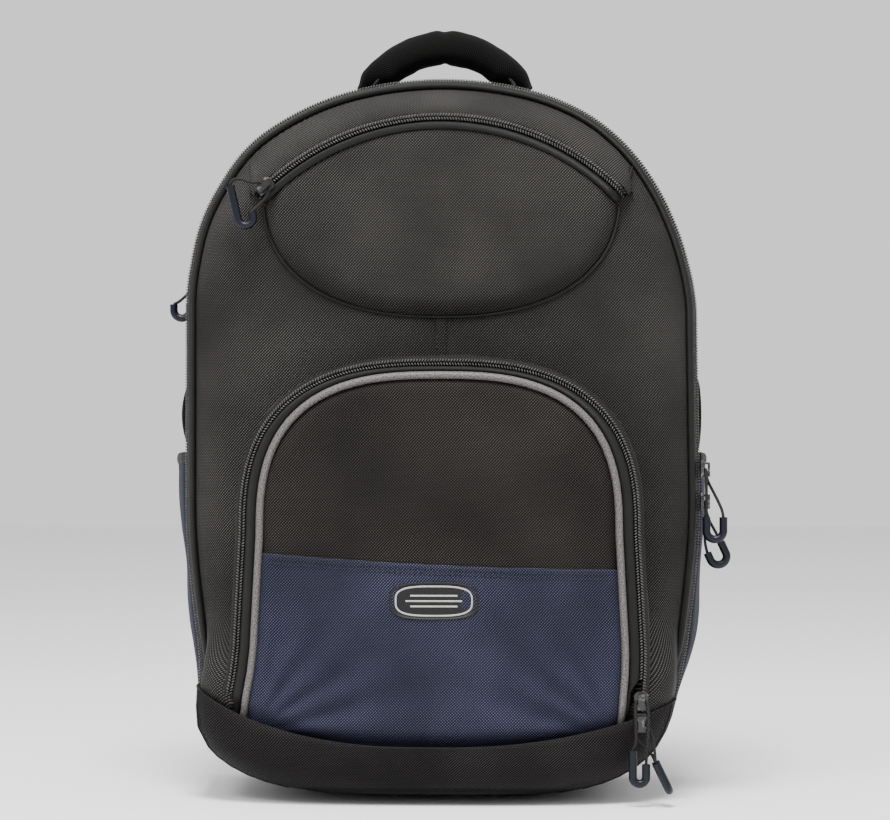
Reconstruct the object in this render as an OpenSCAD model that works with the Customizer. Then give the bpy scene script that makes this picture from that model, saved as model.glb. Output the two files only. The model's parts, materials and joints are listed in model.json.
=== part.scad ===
// A soft backpack for flight crew: a rear tub, a front panel that folds down on the boot,
// two zipped outside pockets, two bottle pockets, a padded handle and shoulder straps.
// +Z is up, -Y is the front, +Y is the side against the wearer's back. Millimetres.

/* [Body] */
// Width of the bag across its sides
body_w = 337; // [325:1:350]
// Height of the crown of the bag above the floor
body_h = 470; // [468:1:472]
// Height at which the straight sides turn into the arched top
shoulder_z = 320; // [318:1:322]
// Radius of the arched shoulders
haunch_r = 147.4; // [147.2:0.1:147.6]
// Half of the width of the flat underside
foot_half_w = 75; // [65:1:80]
// Wall thickness of the padded fabric
wall = 3; // [2.5:0.5:3]

/* [Depth] */
// Plane of the main zip
zip_y = -33.25; // [-33.25:0.05:-33.2]
// Outer face of the front wall
front_y = -50; // [-50:0.5:-49.5]
// Outer face of the back panel
back_y = 86; // [86:0.5:88]
// How far the rounded boot comes forward
boot_front_y = -98; // [-98:0.5:-96]
// Front face of the laptop divider
divider_y = 28; // [24:1:28]

/* [Boot] */
// Height of the seam along the top of the boot
boot_z = 38; // [38:0.1:38.2]

/* [Front pocket] */
// Half of the width inside the piping where the arch starts
pocket_half_w = 115; // [114:0.5:115]
// Half of the width at the foot of the pocket
pocket_foot_half_w = 122; // [121:0.5:122]
// Height where the arch starts
pocket_arch_z = 172; // [165:1:175]
// Rise of the arch above that height
pocket_arch_h = 103; // [95:1:105]
// Outer face of the pocket's flap
pocket_face_y = -90; // [-90:0.5:-89]
// Height of the seam between the two panels of the flap
pocket_split_z = 156; // [145:1:160]

/* [Top pocket] */
// Radius of the zip's arc
top_zip_r = 166.5; // [166:0.1:167]
// Height of the centre of the zip's arc
top_zip_z = 276.5; // [276:0.1:277]
// Outer face of the pocket
top_face_y = -60; // [-60:0.5:-59.5]
// Height of the lowest point of the curved seam
top_seam_z = 313.6; // [308:0.2:320]
// Height of the fold line of the pocket's lip
lip_z = 418; // [417:0.5:419]

/* [Handle] */
// Radius of the handle's middle line
handle_r = 58; // [57:0.5:58]
// Height of the centre of the handle's arc
handle_z = 438; // [438:0.5:440]
// Place of the handle from front to back
handle_y = 20; // [16:1:24]

/* [Straps] */
// Width of a shoulder strap
strap_w = 64; // [56:1:66]
// Thickness of a shoulder strap
strap_t = 12; // [9:1:13]
// Lean of each strap away from the middle, in degrees
strap_lean = 9.5; // [8:0.5:10]

/* [Hidden] */

gap = 0.3;
far = 600;
black = "#262524";
charcoal = "#343332";
navy = "#23263c";
trim = "#151515";
silver = "#8d8c89";
moulded = "#1c2028";

// The arched outline: crown arc, shoulder arcs, straight sides, and sides that taper to the foot.
half_w = body_w / 2;
haunch_x = half_w - haunch_r;
crown_r = 235;
crown_z = body_h - crown_r;
// Direction of the point where crown and shoulder arcs meet, from the shoulder arc's centre
meet_a = atan2(shoulder_z - crown_z, haunch_x);
taper_top_z = 165;
taper_foot_z = 70;
taper_in = 11.5;
foot_corner_n = 2.2;

// A point of a superellipse quarter
function super(a, b, n, t) = [a * pow(cos(t), 2 / n), b * pow(sin(t), 2 / n)];

// The right half of the outline, from the foot up to the crown, moved in by i
function half_outline(i) = concat(
    [for (t = [90:-15:0]) let (p = super(half_w - taper_in - foot_half_w - i,
        taper_foot_z - i, foot_corner_n, max(t, 0.01)))
        [foot_half_w + p[0], taper_foot_z - p[1]]],
    [[half_w - i, taper_top_z], [half_w - i, shoulder_z]],
    [for (t = [8:8:72]) [haunch_x + (haunch_r - i) * cos(t), shoulder_z + (haunch_r - i) * sin(t)]],
    [for (t = [meet_a:(90 - meet_a) / 3:90.01]) [(crown_r - i) * cos(t), crown_z + (crown_r - i) * sin(t)]]);

function mirrored(pts) = [for (k = [len(pts) - 1:-1:0]) [-pts[k][0], pts[k][1]]];

module outline(i) {
    right = half_outline(i);
    polygon(concat([for (p = right) if (p[0] > 0.01) p], [[0, body_h - i]],
        [for (p = mirrored(right)) if (p[0] < -0.01) p]));
}

module ring(i_out, i_in) {
    difference() {
        outline(i_out);
        outline(i_in);
    }
}

// Everything between two heights, as a flat shape to cut others with
module band(z_low, z_high) {
    translate([-far, z_low]) square([2 * far, z_high - z_low]);
}

// A shape drawn in X and Z, as thick as the stretch from y_front to y_rear
module slab(y_front, y_rear) {
    translate([0, y_rear, 0]) rotate([90, 0, 0]) linear_extrude(y_rear - y_front) children();
}

// The boot's outline seen from above, with rounded front corners
boot_side_y = -36;
boot_plan_n = 2.6;
module boot_plan(i, rear_y) {
    deep = boot_side_y - boot_front_y - i;
    arc = [for (t = [0:7.5:180]) let (c = cos(t), s = max(sin(t), 0))
        [sign(c) * (half_w - i) * pow(abs(c), 2 / boot_plan_n),
        boot_side_y - deep * pow(s, 2 / boot_plan_n)]];
    polygon(concat(arc, [[-half_w + i, rear_y], [half_w - i, rear_y]]));
}

// The front pocket's arch, moved out by o from the piping's middle line
pocket_n = 2.75;
pocket_flare_z = 59;
function pocket_half(o) = concat(
    [[pocket_foot_half_w + o, boot_z + gap], [pocket_foot_half_w - 1 + o, pocket_flare_z]],
    [for (t = [0:7.5:90]) let (p = super(pocket_half_w + o, pocket_arch_h + o, pocket_n, min(t, 89.99)))
        [p[0], pocket_arch_z + p[1]]]);

module pocket_shape(o) {
    right = pocket_half(o);
    polygon(concat([for (p = right) if (p[0] > 1) p], [[0, pocket_arch_z + pocket_arch_h + o]],
        [for (p = mirrored(right)) if (p[0] < -1) p]));
}

module pocket_ring(o_out, o_in) {
    difference() {
        pocket_shape(o_out);
        pocket_shape(o_in);
    }
}

// The top pocket's lens: an arc above and a curved seam below
lens_half_a = 44;
lens_r = top_zip_r - 3.9;
lens_z = top_zip_z + lens_r * cos(lens_half_a);
lens_half_w = lens_r * sin(lens_half_a) + 3;
lens_n = 2.35;
module lens(i) {
    below = [for (t = [0:10:180]) let (c = cos(t), s = max(sin(t), 0))
        [sign(c) * (lens_half_w - i) * pow(abs(c), 2 / lens_n),
        lens_z - i - (lens_z - top_seam_z - 2 * i) * pow(s, 2 / lens_n)]];
    above = [for (a = [-lens_half_a:4:lens_half_a + 0.01]) [(lens_r - i) * sin(a), top_zip_z + (lens_r - i) * cos(a)]];
    polygon(concat(below, above));
}

module disc(r) {
    translate([0, top_zip_z]) circle(r = r, $fn = 96);
}

// Back, sides and base of the tub

gusset_y = zip_y + 3.25;
rear_zip_y = 36;
rear_zip_w = 10;
inner_back_y = back_y - 4;
rear_zip_foot_z = 240;

module back_panel() {
    color(black) slab(inner_back_y, back_y) outline(0);
}

module frame_sheet() {
    color(trim) slab(inner_back_y - 2.5, inner_back_y) intersection() {
        outline(8);
        band(44, far);
    }
}

pad_inner_x = 8;
pad_w = 64;
pad_low_z = 92;
pad_high_z = 396;
pad_t = 9;

module back_pads() {
    color(charcoal) for (side = [-1, 1])
        slab(back_y, back_y + pad_t)
            translate([side * (pad_inner_x + pad_w / 2), 0])
                intersection() {
                    translate([-pad_w / 2, pad_low_z]) square([pad_w, pad_high_z - pad_low_z]);
                    translate([0, (pad_low_z + pad_high_z) / 2]) circle(d = pad_high_z - pad_low_z + 6, $fn = 64);
                }
}

module gusset_front() {
    color(black) slab(gusset_y, rear_zip_y) intersection() {
        ring(0, wall);
        band(boot_z, far);
    }
}

module gusset_rear() {
    color(black) {
        slab(rear_zip_y + rear_zip_w, inner_back_y) intersection() {
            ring(0, wall);
            band(rear_zip_foot_z, far);
        }
        slab(rear_zip_y, inner_back_y) intersection() {
            ring(0, wall);
            band(boot_z, rear_zip_foot_z);
        }
    }
}

module base_panel() {
    color(black) difference() {
        intersection() {
            slab(boot_front_y, inner_back_y) outline(0);
            linear_extrude(boot_z) boot_plan(0, inner_back_y);
        }
        intersection() {
            slab(-far, far) outline(wall);
            translate([0, 0, -1]) linear_extrude(boot_z + 2) boot_plan(wall, far);
        }
    }
}

board_half_w = 74;
module base_board() {
    color(trim) translate([-board_half_w, -78, wall]) cube([2 * board_half_w, 104, 2.5]);
}

module laptop_divider() {
    color(charcoal) slab(divider_y, divider_y + 6) intersection() {
        outline(wall);
        band(10, far);
    }
}

zip_foot_z = 60;
coil_out = 0.8;
module main_zip_rear_half() {
    color(trim) slab(zip_y + gap / 2, gusset_y) intersection() {
        ring(-coil_out, 2.2);
        band(zip_foot_z, far);
    }
}

module rear_zip() {
    color(trim) slab(rear_zip_y, rear_zip_y + rear_zip_w) intersection() {
        ring(-coil_out, 2.2);
        band(rear_zip_foot_z, far);
    }
}

// Side pockets: each is a wall that stands off the tub, closed at its ends and foot
side_pocket_out = 9.5;
side_pocket_low_z = 46;
side_pocket_high_z = 217;
side_pocket_front_y = -22;
side_pocket_rear_y = 76;
binding_h = 8;
cloth = 2.5;

module side_pocket(side) {
    color(navy) difference() {
        slab(side_pocket_front_y, side_pocket_rear_y) intersection() {
            ring(-side_pocket_out, 0);
            band(side_pocket_low_z, side_pocket_high_z);
            translate([side > 0 ? 0 : -far, 0]) square([far, far]);
        }
        slab(side_pocket_front_y + cloth, side_pocket_rear_y - cloth) intersection() {
            outline(-side_pocket_out + cloth);
            band(side_pocket_low_z + cloth, far);
        }
    }
}

module side_pocket_left() {
    side_pocket(-1);
}

module side_pocket_right() {
    side_pocket(1);
}

module pocket_bindings() {
    color(trim) slab(side_pocket_front_y, side_pocket_rear_y) intersection() {
        ring(-side_pocket_out, -side_pocket_out + cloth);
        band(side_pocket_high_z, side_pocket_high_z + binding_h);
    }
}

module side_bands() {
    color(trim) slab(8, 33) intersection() {
        ring(-3, 0);
        band(side_pocket_high_z + binding_h + 2, 273);
    }
}

// Handle: webbing core inside a padded cover, hinged where the webbing meets the crown
anchor_t = 1.5;
core_end_a = 35.5;
cover_end_a = 46;
core_half_w = 11;
module handle_anchors() {
    color(trim) slab(handle_y - 15, handle_y + 15) intersection() {
        ring(-anchor_t, 0);
        for (side = [-1, 1]) translate([side * 52 - 14, 400]) square([28, 100]);
    }
}

// A shape drawn in radius and Y, swept along the handle's arc between its two end angles
module along_handle(end_a) {
    translate([0, handle_y, handle_z]) rotate([90, 0, 0]) rotate([0, 0, end_a])
        rotate_extrude(angle = 180 - 2 * end_a, $fn = 72) children();
}

module core_section(grow) {
    translate([handle_r - 1.5 - grow, -core_half_w - grow]) square([3 + 2 * grow, 2 * (core_half_w + grow)]);
}

module handle_core() {
    color(trim) along_handle(core_end_a) core_section(0);
}

module handle_cover() {
    color(black) along_handle(cover_end_a) difference() {
        translate([handle_r, 0]) polygon([for (t = [0:20:359]) let (c = cos(t), s = sin(t))
            [10 * sign(c) * pow(abs(c), 0.75), 13 * sign(s) * pow(abs(s), 0.75)]]);
        core_section(0.15);
    }
}

// Shoulder straps. Each assembly is drawn upright about a point on the back, then leans out.
strap_x = 85;
strap_z = 300;
strap_arc_r = 390;
strap_bow = 26;
strap_top = 118;
strap_end = -135;
lock_top = -137;
lock_h = 18;
web_half_w = 12.5;
web_end = -252;

module strap_place(side) {
    translate([side * strap_x, 0, strap_z]) rotate([0, -side * strap_lean, 0]) children();
}

module shoulder_strap(side) {
    color(charcoal) strap_place(side) intersection() {
        translate([-strap_w / 2, back_y + strap_bow - strap_arc_r, 0]) rotate([0, 90, 0]) difference() {
            cylinder(r = strap_arc_r + strap_t, h = strap_w, $fn = 180);
            translate([0, 0, -1]) cylinder(r = strap_arc_r, h = strap_w + 2, $fn = 180);
        }
        translate([-strap_w, back_y, strap_end]) cube([2 * strap_w, 80, strap_top - strap_end]);
    }
}

module shoulder_strap_left() {
    shoulder_strap(-1);
}

module shoulder_strap_right() {
    shoulder_strap(1);
}

module strap_webbing(side) {
    color(trim) strap_place(side)
        translate([-web_half_w, back_y + 1, web_end]) cube([2 * web_half_w, 2, lock_top - lock_h - 0.8 - web_end]);
}

module strap_webbing_left() {
    strap_webbing(-1);
}

module strap_webbing_right() {
    strap_webbing(1);
}

module ladder_lock(side) {
    bar_w = 4;
    color(moulded) strap_place(side) difference() {
        translate([-16, back_y + 2, lock_top - lock_h]) cube([32, 5, lock_h]);
        for (row = [0, 1]) translate([-13, back_y, lock_top - lock_h + bar_w + row * 7]) cube([26, 10, 3]);
    }
}

module ladder_lock_left() {
    ladder_lock(-1);
}

module ladder_lock_right() {
    ladder_lock(1);
}

module strap_yoke() {
    color(black) slab(back_y, back_y + 14) intersection() {
        outline(6);
        band(426, 456);
    }
}

module anchor_tabs() {
    color(black) for (side = [-1, 1])
        slab(back_y, back_y + 4) polygon([[side * 148, 44], [side * 104, 44], [side * 132, 16]]);
}

// Front panel

module front_wall() {
    color(charcoal) {
        slab(front_y, front_y + wall) intersection() {
            outline(0);
            band(boot_z + gap, far);
        }
        slab(front_y + wall, zip_y - 3.25) difference() {
            intersection() {
                outline(0);
                band(boot_z + gap, far);
            }
            intersection() {
                outline(wall);
                band(boot_z + gap + wall, far);
            }
        }
    }
}

module main_zip_front_half() {
    color(trim) slab(zip_y - 3.25, zip_y - gap / 2) intersection() {
        ring(-coil_out, 2.2);
        band(zip_foot_z, far);
    }
}

yoke_inner_r = top_zip_r + 3.9;
module top_yoke() {
    color(charcoal) slab(front_y - 3, front_y) difference() {
        intersection() {
            outline(7);
            band(lens_z + 4, far);
        }
        disc(yoke_inner_r);
    }
}

// Top pocket: a fixed face below the fold line and a lip above it
module top_pocket_face() {
    color(charcoal) {
        slab(top_face_y, top_face_y + 3) intersection() {
            lens(0);
            band(0, lip_z - gap);
        }
        slab(top_face_y + 3, front_y) difference() {
            intersection() {
                lens(0);
                band(0, lip_z - gap);
            }
            lens(2);
        }
    }
}

module top_pocket_lip() {
    color(charcoal) slab(top_face_y, top_face_y + 3) intersection() {
        lens(0);
        band(lip_z, far);
    }
}

module zip_arc(r_out, r_in, z_low, z_high) {
    intersection() {
        difference() {
            disc(r_out);
            disc(r_in);
        }
        band(z_low, z_high);
    }
}

module top_zip_upper_half() {
    color(trim) {
        slab(top_face_y - 1, front_y) zip_arc(top_zip_r + 3.8, top_zip_r + gap / 2, lens_z, far);
        slab(top_face_y - 1, top_face_y + 3)
            zip_arc(top_zip_r + gap / 2, lens_r + 0.2, lens_z, lip_z - gap);
    }
}

// Thin, and well inside the upper half, so that it clears the upper half when the lip turns down
lip_zip_gap = 1.3;
lip_zip_t = 1.6;
module top_zip_lower_half() {
    color(trim) slab(top_face_y - 1, top_face_y - 1 + lip_zip_t)
        zip_arc(top_zip_r - lip_zip_gap, lens_r + 0.2, lip_z, far);
}

// Front pocket: a fixed gusset with the outer half of the zip, and a flap
pocket_gusset_y = -80;
pocket_zip_y = -84;
fixed_end_z = 80;

module front_pocket_gusset() {
    color(black) slab(pocket_gusset_y, front_y) difference() {
        pocket_shape(10);
        intersection() {
            pocket_shape(8);
            band(boot_z + gap + 2, far);
        }
    }
}

module pocket_zip_outer_half() {
    color(trim) {
        slab(pocket_zip_y, pocket_gusset_y) pocket_ring(11, 8.2);
        slab(pocket_zip_y, pocket_zip_y + 3) intersection() {
            pocket_ring(8.2, 5);
            band(0, fixed_end_z);
        }
    }
}

module organiser() {
    color(charcoal) slab(front_y - 3, front_y) translate([-92, 62]) square([184, 120]);
}

module pocket_panel_black() {
    color(black) slab(pocket_face_y, pocket_face_y + 4) intersection() {
        pocket_shape(-2);
        band(pocket_split_z, far);
    }
}

module pocket_panel_navy() {
    color(navy) slab(pocket_face_y, pocket_face_y + 4) intersection() {
        pocket_shape(-2);
        band(boot_z + 2 * gap, pocket_split_z);
    }
}

module reflective_piping() {
    color(silver) slab(pocket_face_y, pocket_zip_y) intersection() {
        pocket_ring(1.8, -2);
        band(boot_z + 2 * gap, far);
    }
}

module pocket_zip_inner_half() {
    color(trim) slab(pocket_zip_y, pocket_zip_y + 3) intersection() {
        pocket_ring(7.6, -2);
        band(fixed_end_z + gap, far);
    }
}

badge_x = -3;
badge_z = 131;
module badge() {
    color(trim) slab(pocket_face_y - 2.5, pocket_face_y) translate([badge_x, badge_z])
        polygon([for (t = [0:12:359]) let (c = cos(t), s = sin(t))
            [29 * sign(c) * pow(abs(c), 0.6), 12 * sign(s) * pow(abs(s), 0.6)]]);
}

// Zip sliders. Drawn with the zip along Z and the outside towards -Y: a plate and an arched bail
// whose tunnel, along X, the pull's cord runs through.
plate_t = 1.6;
tunnel = 3;
bail_t = 1.4;
eye_out = plate_t + tunnel / 2;
slider_gap = 0.4;

module slider() {
    color(trim) {
        slab(-plate_t, 0) polygon([[-3, -6], [3, -6], [4.5, 1], [4.5, 4], [2.5, 6], [-2.5, 6], [-4.5, 4], [-4.5, 1]]);
        slab(-plate_t - tunnel, -plate_t) for (s = [-1, 1]) translate([-2, s * 4 - 0.7]) square([4, 1.4]);
        slab(-plate_t - tunnel - bail_t, -plate_t - tunnel) translate([-2, -4.7]) square([4, 9.4]);
    }
}

side_out = half_w + coil_out + slider_gap;
main_upper_z = 214;
main_lower_z = 193;
rear_slider_a = 7.8;
rear_slider_y = rear_zip_y + rear_zip_w / 2;
top_slider_a = 43.2;
pocket_slider_x = 129;
pocket_upper_z = 67;
pocket_lower_z = 53;

module slider_main_upper() {
    translate([side_out, zip_y, main_upper_z]) rotate([0, 0, 90]) slider();
}

module slider_main_lower() {
    translate([side_out, zip_y, main_lower_z]) rotate([0, 0, 90]) slider();
}

module slider_rear() {
    translate([-haunch_x, 0, shoulder_z]) rotate([0, rear_slider_a, 0])
        translate([haunch_x - side_out, rear_slider_y, 0]) rotate([0, 0, -90]) slider();
}

module slider_top_pocket() {
    translate([0, top_face_y - 1 - slider_gap, top_zip_z]) rotate([0, -top_slider_a, 0])
        translate([0, 0, top_zip_r]) rotate([0, 90, 0]) slider();
}

module pocket_slider(z) {
    translate([pocket_slider_x, pocket_zip_y - slider_gap, z]) slider();
}

module slider_pocket_upper() {
    pocket_slider(pocket_upper_z);
}

module slider_pocket_lower() {
    pocket_slider(pocket_lower_z);
}

// Pull cords: one loop each, from one end of the grip, through the bail and back to the other end
cord_d = 2;
route_main_upper = [[173, -40.5, 183], [173, -40.6, 190], [173, -40.6, 198], [173, -40.3, 205],
    [173, -39.2, 210.4], [172.9, -37, 213.2], [172.8, -35.2, 213.9], [172.8, -33.25, 214],
    [172.8, -31.3, 213.9], [173, -29.6, 213], [173.6, -28.4, 210], [175, -28.2, 205.5],
    [178, -29.6, 199.5], [181, -33.2, 193.2], [183.2, -37.8, 187.6], [184, -40.5, 183]];
route_main_lower = [[174.1, -31, 159.2], [172.6, -32, 166], [172.3, -33.6, 174], [172.6, -35.4, 181],
    [172.8, -36.8, 186.6], [172.8, -36.9, 190.4], [172.8, -35.9, 192.4], [172.8, -34.6, 192.9],
    [172.8, -33.25, 193], [172.8, -31.9, 192.9], [172.8, -30.6, 192.4], [173, -29.2, 190.4],
    [173.8, -28.6, 186], [175.8, -28.4, 180], [179.4, -29.6, 173.2], [182.8, -31, 166.6]];
route_rear = [[-175.6, 41, 326], [-174.6, 38.6, 330], [-173.6, 36.9, 335], [-172.6, 36.6, 339],
    [-171.9, 38.2, 340.6], [-171.7, 41, 341], [-171.8, 43.8, 340.6], [-173, 45.4, 338.6],
    [-175.6, 45.2, 335.4], [-179.2, 43.8, 331.6], [-182.8, 42.2, 328.2], [-186.6, 41, 326]];
route_top_pocket = [[-122, -64.5, 380.9], [-117.5, -64.7, 385.5], [-113.4, -64.8, 389.9],
    [-111.7, -64.7, 393.1], [-112.3, -64.5, 396.1], [-114, -64.5, 397.9], [-115.7, -64.5, 399.7],
    [-118, -64.6, 400.4], [-121.4, -64.8, 400.2], [-125, -65, 401], [-129, -65, 402.4],
    [-133, -64.8, 402.4], [-135.6, -64.6, 400.6], [-136.2, -64.5, 397.9]];
route_pocket_upper = [[123.4, -93, 36.4], [124.3, -93, 38.2], [125.2, -92.9, 40.8],
    [125.5, -92.5, 46], [125.4, -91.4, 53], [125.2, -89.6, 60], [125.2, -88.3, 64.2],
    [126, -87.6, 66.4], [127.4, -87.5, 67], [129, -87.5, 67.1], [130.6, -87.5, 67],
    [132, -87.6, 66.4], [132.9, -88.3, 64.2], [133.3, -90, 60], [133.3, -91.8, 52],
    [132.9, -92.9, 44], [132.2, -93.1, 35], [131.8, -93, 27.6]];
route_pocket_lower = [[137.8, -84.6, 28.6], [135.8, -85.9, 32.8], [132.4, -86.8, 36.6],
    [128.6, -87.2, 40.4], [125.9, -87.4, 44.6], [125.3, -87.5, 49], [126.6, -87.5, 52.4],
    [129, -87.5, 53], [131.4, -87.5, 52.4], [134, -87.7, 50], [136, -88.8, 45], [137, -91, 38.6],
    [137.4, -93, 33.4], [137.8, -94.6, 28.6]];

function unit(v) = v / norm(v);
function tangent(pts, k) = unit(pts[min(k + 1, len(pts) - 1)] - pts[max(k - 1, 0)]);

// A round tube along a route, closed at both ends. The route never runs along the direction "across".
module tube(pts, d, across) {
    sides = 8;
    n = len(pts);
    rings = [for (k = [0:n - 1]) let (
        t = tangent(pts, k),
        u = unit(cross(t, across)),
        v = cross(t, u)) [for (j = [0:sides - 1]) pts[k] + d / 2 * (cos(j * 360 / sides) * u + sin(j * 360 / sides) * v)]];
    points = [for (r = rings) for (p = r) p];
    walls = [for (k = [0:n - 2]) for (j = [0:sides - 1]) let (a = k * sides + j, b = k * sides + (j + 1) % sides)
        each [[a, b, b + sides], [a, b + sides, a + sides]]];
    caps = [[for (j = [sides - 1:-1:0]) j], [for (j = [0:sides - 1]) (n - 1) * sides + j]];
    polyhedron(points = points, faces = concat(walls, caps), convexity = 6);
}

module pull_cord(pts, across) {
    color(trim) tube(pts, cord_d, across);
}

module cord_main_upper() {
    pull_cord(route_main_upper, [1, 0, 0]);
}

module cord_main_lower() {
    pull_cord(route_main_lower, [1, 0, 0]);
}

module cord_rear() {
    pull_cord(route_rear, [1, 0, 0]);
}

module cord_top_pocket() {
    pull_cord(route_top_pocket, [0, 1, 0]);
}

module cord_pocket_upper() {
    pull_cord(route_pocket_upper, [0, 1, 0]);
}

module cord_pocket_lower() {
    pull_cord(route_pocket_lower, [0, 1, 0]);
}

// Moulded grips: a bent round bar in X and Z about the middle of its bend, with a leg on each side
grip_d = 5.3;
module grip(bend_r, leg_left, leg_right) {
    color(moulded) {
        rotate([90, 0, 0]) rotate([0, 0, 180]) rotate_extrude(angle = 180, $fn = 48)
            translate([bend_r, 0]) circle(d = grip_d, $fn = 24);
        translate([-bend_r, 0, 0]) cylinder(d = grip_d, h = leg_left, $fn = 24);
        translate([bend_r, 0, 0]) cylinder(d = grip_d, h = leg_right, $fn = 24);
    }
}

module grip_main_upper() {
    translate([178.5, -40.5, 174]) grip(5.5, 9, 9);
}

module grip_main_lower() {
    translate([181.2, -31, 157]) rotate([0, -25, 0]) grip(5.5, 5, 8);
}

module grip_rear() {
    translate([-181.1, 41, 322]) grip(5.5, 4, 4);
}

module grip_top_pocket() {
    translate([-126.3, -64.5, 377.4]) rotate([0, -13, 0]) grip(5, 22.2, 2.4);
}

module grip_pocket_upper() {
    translate([127.6, -93, 19.4]) grip(4.2, 17, 8.2);
}

module grip_pocket_lower() {
    translate([144.4, -89.6, 15.2]) rotate([0, -26, 0]) rotate([0, 0, 90]) grip(5, 14.6, 14.6);
}

back_panel();
frame_sheet();
back_pads();
gusset_front();
gusset_rear();
base_panel();
base_board();
laptop_divider();
main_zip_rear_half();
rear_zip();
side_pocket_left();
side_pocket_right();
pocket_bindings();
side_bands();
handle_anchors();
shoulder_strap_left();
shoulder_strap_right();
strap_webbing_left();
strap_webbing_right();
strap_yoke();
anchor_tabs();
ladder_lock_left();
ladder_lock_right();
handle_core();
handle_cover();
front_wall();
main_zip_front_half();
top_yoke();
top_pocket_face();
top_zip_upper_half();
top_pocket_lip();
top_zip_lower_half();
front_pocket_gusset();
pocket_zip_outer_half();
organiser();
pocket_panel_black();
pocket_panel_navy();
reflective_piping();
pocket_zip_inner_half();
badge();
slider_main_upper();
slider_main_lower();
slider_rear();
slider_top_pocket();
slider_pocket_upper();
slider_pocket_lower();
cord_main_upper();
cord_main_lower();
cord_rear();
cord_top_pocket();
cord_pocket_upper();
cord_pocket_lower();
grip_main_upper();
grip_main_lower();
grip_rear();
grip_top_pocket();
grip_pocket_upper();
grip_pocket_lower();
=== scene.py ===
"""Looks of the flight bag: fabric panels, zips, padding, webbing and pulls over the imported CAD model.

Lengths are in millimetres, and grid_piece() turns them into metres. +Z is up and -Y is the front.
"""

import math

import bpy
import numpy as np
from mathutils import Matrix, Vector, noise
from mathutils.kdtree import KDTree
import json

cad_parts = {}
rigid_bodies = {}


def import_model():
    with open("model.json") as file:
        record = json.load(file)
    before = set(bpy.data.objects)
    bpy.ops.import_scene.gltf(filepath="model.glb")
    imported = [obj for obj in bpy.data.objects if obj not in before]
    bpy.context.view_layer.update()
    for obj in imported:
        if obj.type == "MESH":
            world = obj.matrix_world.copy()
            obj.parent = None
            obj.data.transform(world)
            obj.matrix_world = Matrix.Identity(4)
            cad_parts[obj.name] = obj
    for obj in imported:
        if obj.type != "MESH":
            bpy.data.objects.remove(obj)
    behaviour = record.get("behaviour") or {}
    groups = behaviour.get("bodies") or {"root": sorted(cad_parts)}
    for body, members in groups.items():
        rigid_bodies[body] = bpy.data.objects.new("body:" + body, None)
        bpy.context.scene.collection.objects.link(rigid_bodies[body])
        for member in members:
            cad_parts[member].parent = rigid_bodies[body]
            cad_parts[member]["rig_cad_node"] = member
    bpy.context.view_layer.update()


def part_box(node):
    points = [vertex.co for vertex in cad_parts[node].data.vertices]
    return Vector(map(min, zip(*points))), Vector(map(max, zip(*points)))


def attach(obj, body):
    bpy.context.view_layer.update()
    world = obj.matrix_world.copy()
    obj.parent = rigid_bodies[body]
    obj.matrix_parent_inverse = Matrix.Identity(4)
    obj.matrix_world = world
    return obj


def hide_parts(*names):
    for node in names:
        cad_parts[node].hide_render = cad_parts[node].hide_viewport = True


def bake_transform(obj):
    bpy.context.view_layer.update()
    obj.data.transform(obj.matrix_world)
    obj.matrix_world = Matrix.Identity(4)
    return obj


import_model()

MM = 0.001
X, Y, Z = 0, 1, 2


def low(node, axis):
    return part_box(node)[0][axis] / MM


def high(node, axis):
    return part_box(node)[1][axis] / MM


def smooth_step(t):
    t = min(max(t, 0), 1)
    return t * t * (3 - 2 * t)


# ---------------------------------------------------------------- driving dimensions

HALF_W = high("gusset_front", X)
CROWN_Z = high("gusset_front", Z)
BOOT_Z = high("base_panel", Z)
BOOT_Y = low("base_panel", Y)
ZIP_Y = high("main_zip_front_half", Y) + 0.15
WALL_Y = low("front_wall", Y)
REAR_ZIP_Y = (low("rear_zip", Y) + high("rear_zip", Y)) / 2
BACK_Y = high("back_panel", Y)
FOOT_HALF_W = 42
SHOULDER_Z = 320
HAUNCH_R = 147.4
CROWN_R = 235
TAPER_Z = 165
FOOT_Z = 70
TAPER_IN = 11.5
POCKET_HALF_W = 115
POCKET_FOOT_HALF_W = 122
POCKET_ARCH_Z = 172
POCKET_ARCH_H = 103
POCKET_N = 2.75
POCKET_FACE_Y = low("pocket_panel_navy", Y)
TOP_ARC_R = 166.5
TOP_ARC_Z = 276.5
LIP_Z = low("top_pocket_lip", Z)
TOP_FACE_Y = low("top_pocket_face", Y)
HANDLE_R = 58
HANDLE_Z = 438
HANDLE_Y = 20


# ---------------------------------------------------------------- camera

CAMERA_AWAY = 1867
CAMERA_Z = 240
VIEW_CENTRE = (2, ZIP_Y, 253)
VIEW_WIDTH = 585
VIEW_TURN = math.radians(2)


def make_camera():
    data = bpy.data.cameras.new("camera")
    data.sensor_width = 36
    data.lens = data.sensor_width * CAMERA_AWAY / VIEW_WIDTH
    data.shift_y = (VIEW_CENTRE[Z] - CAMERA_Z) / VIEW_WIDTH
    data.clip_end = 20
    camera = bpy.data.objects.new("camera", data)
    bpy.context.collection.objects.link(camera)
    camera.location = Vector((
        VIEW_CENTRE[X] + CAMERA_AWAY * math.sin(VIEW_TURN),
        VIEW_CENTRE[Y] - CAMERA_AWAY * math.cos(VIEW_TURN),
        CAMERA_Z)) * MM
    camera.rotation_euler = (math.radians(90), 0, VIEW_TURN)
    bpy.context.scene.camera = camera


make_camera()


# ---------------------------------------------------------------- materials

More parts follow.
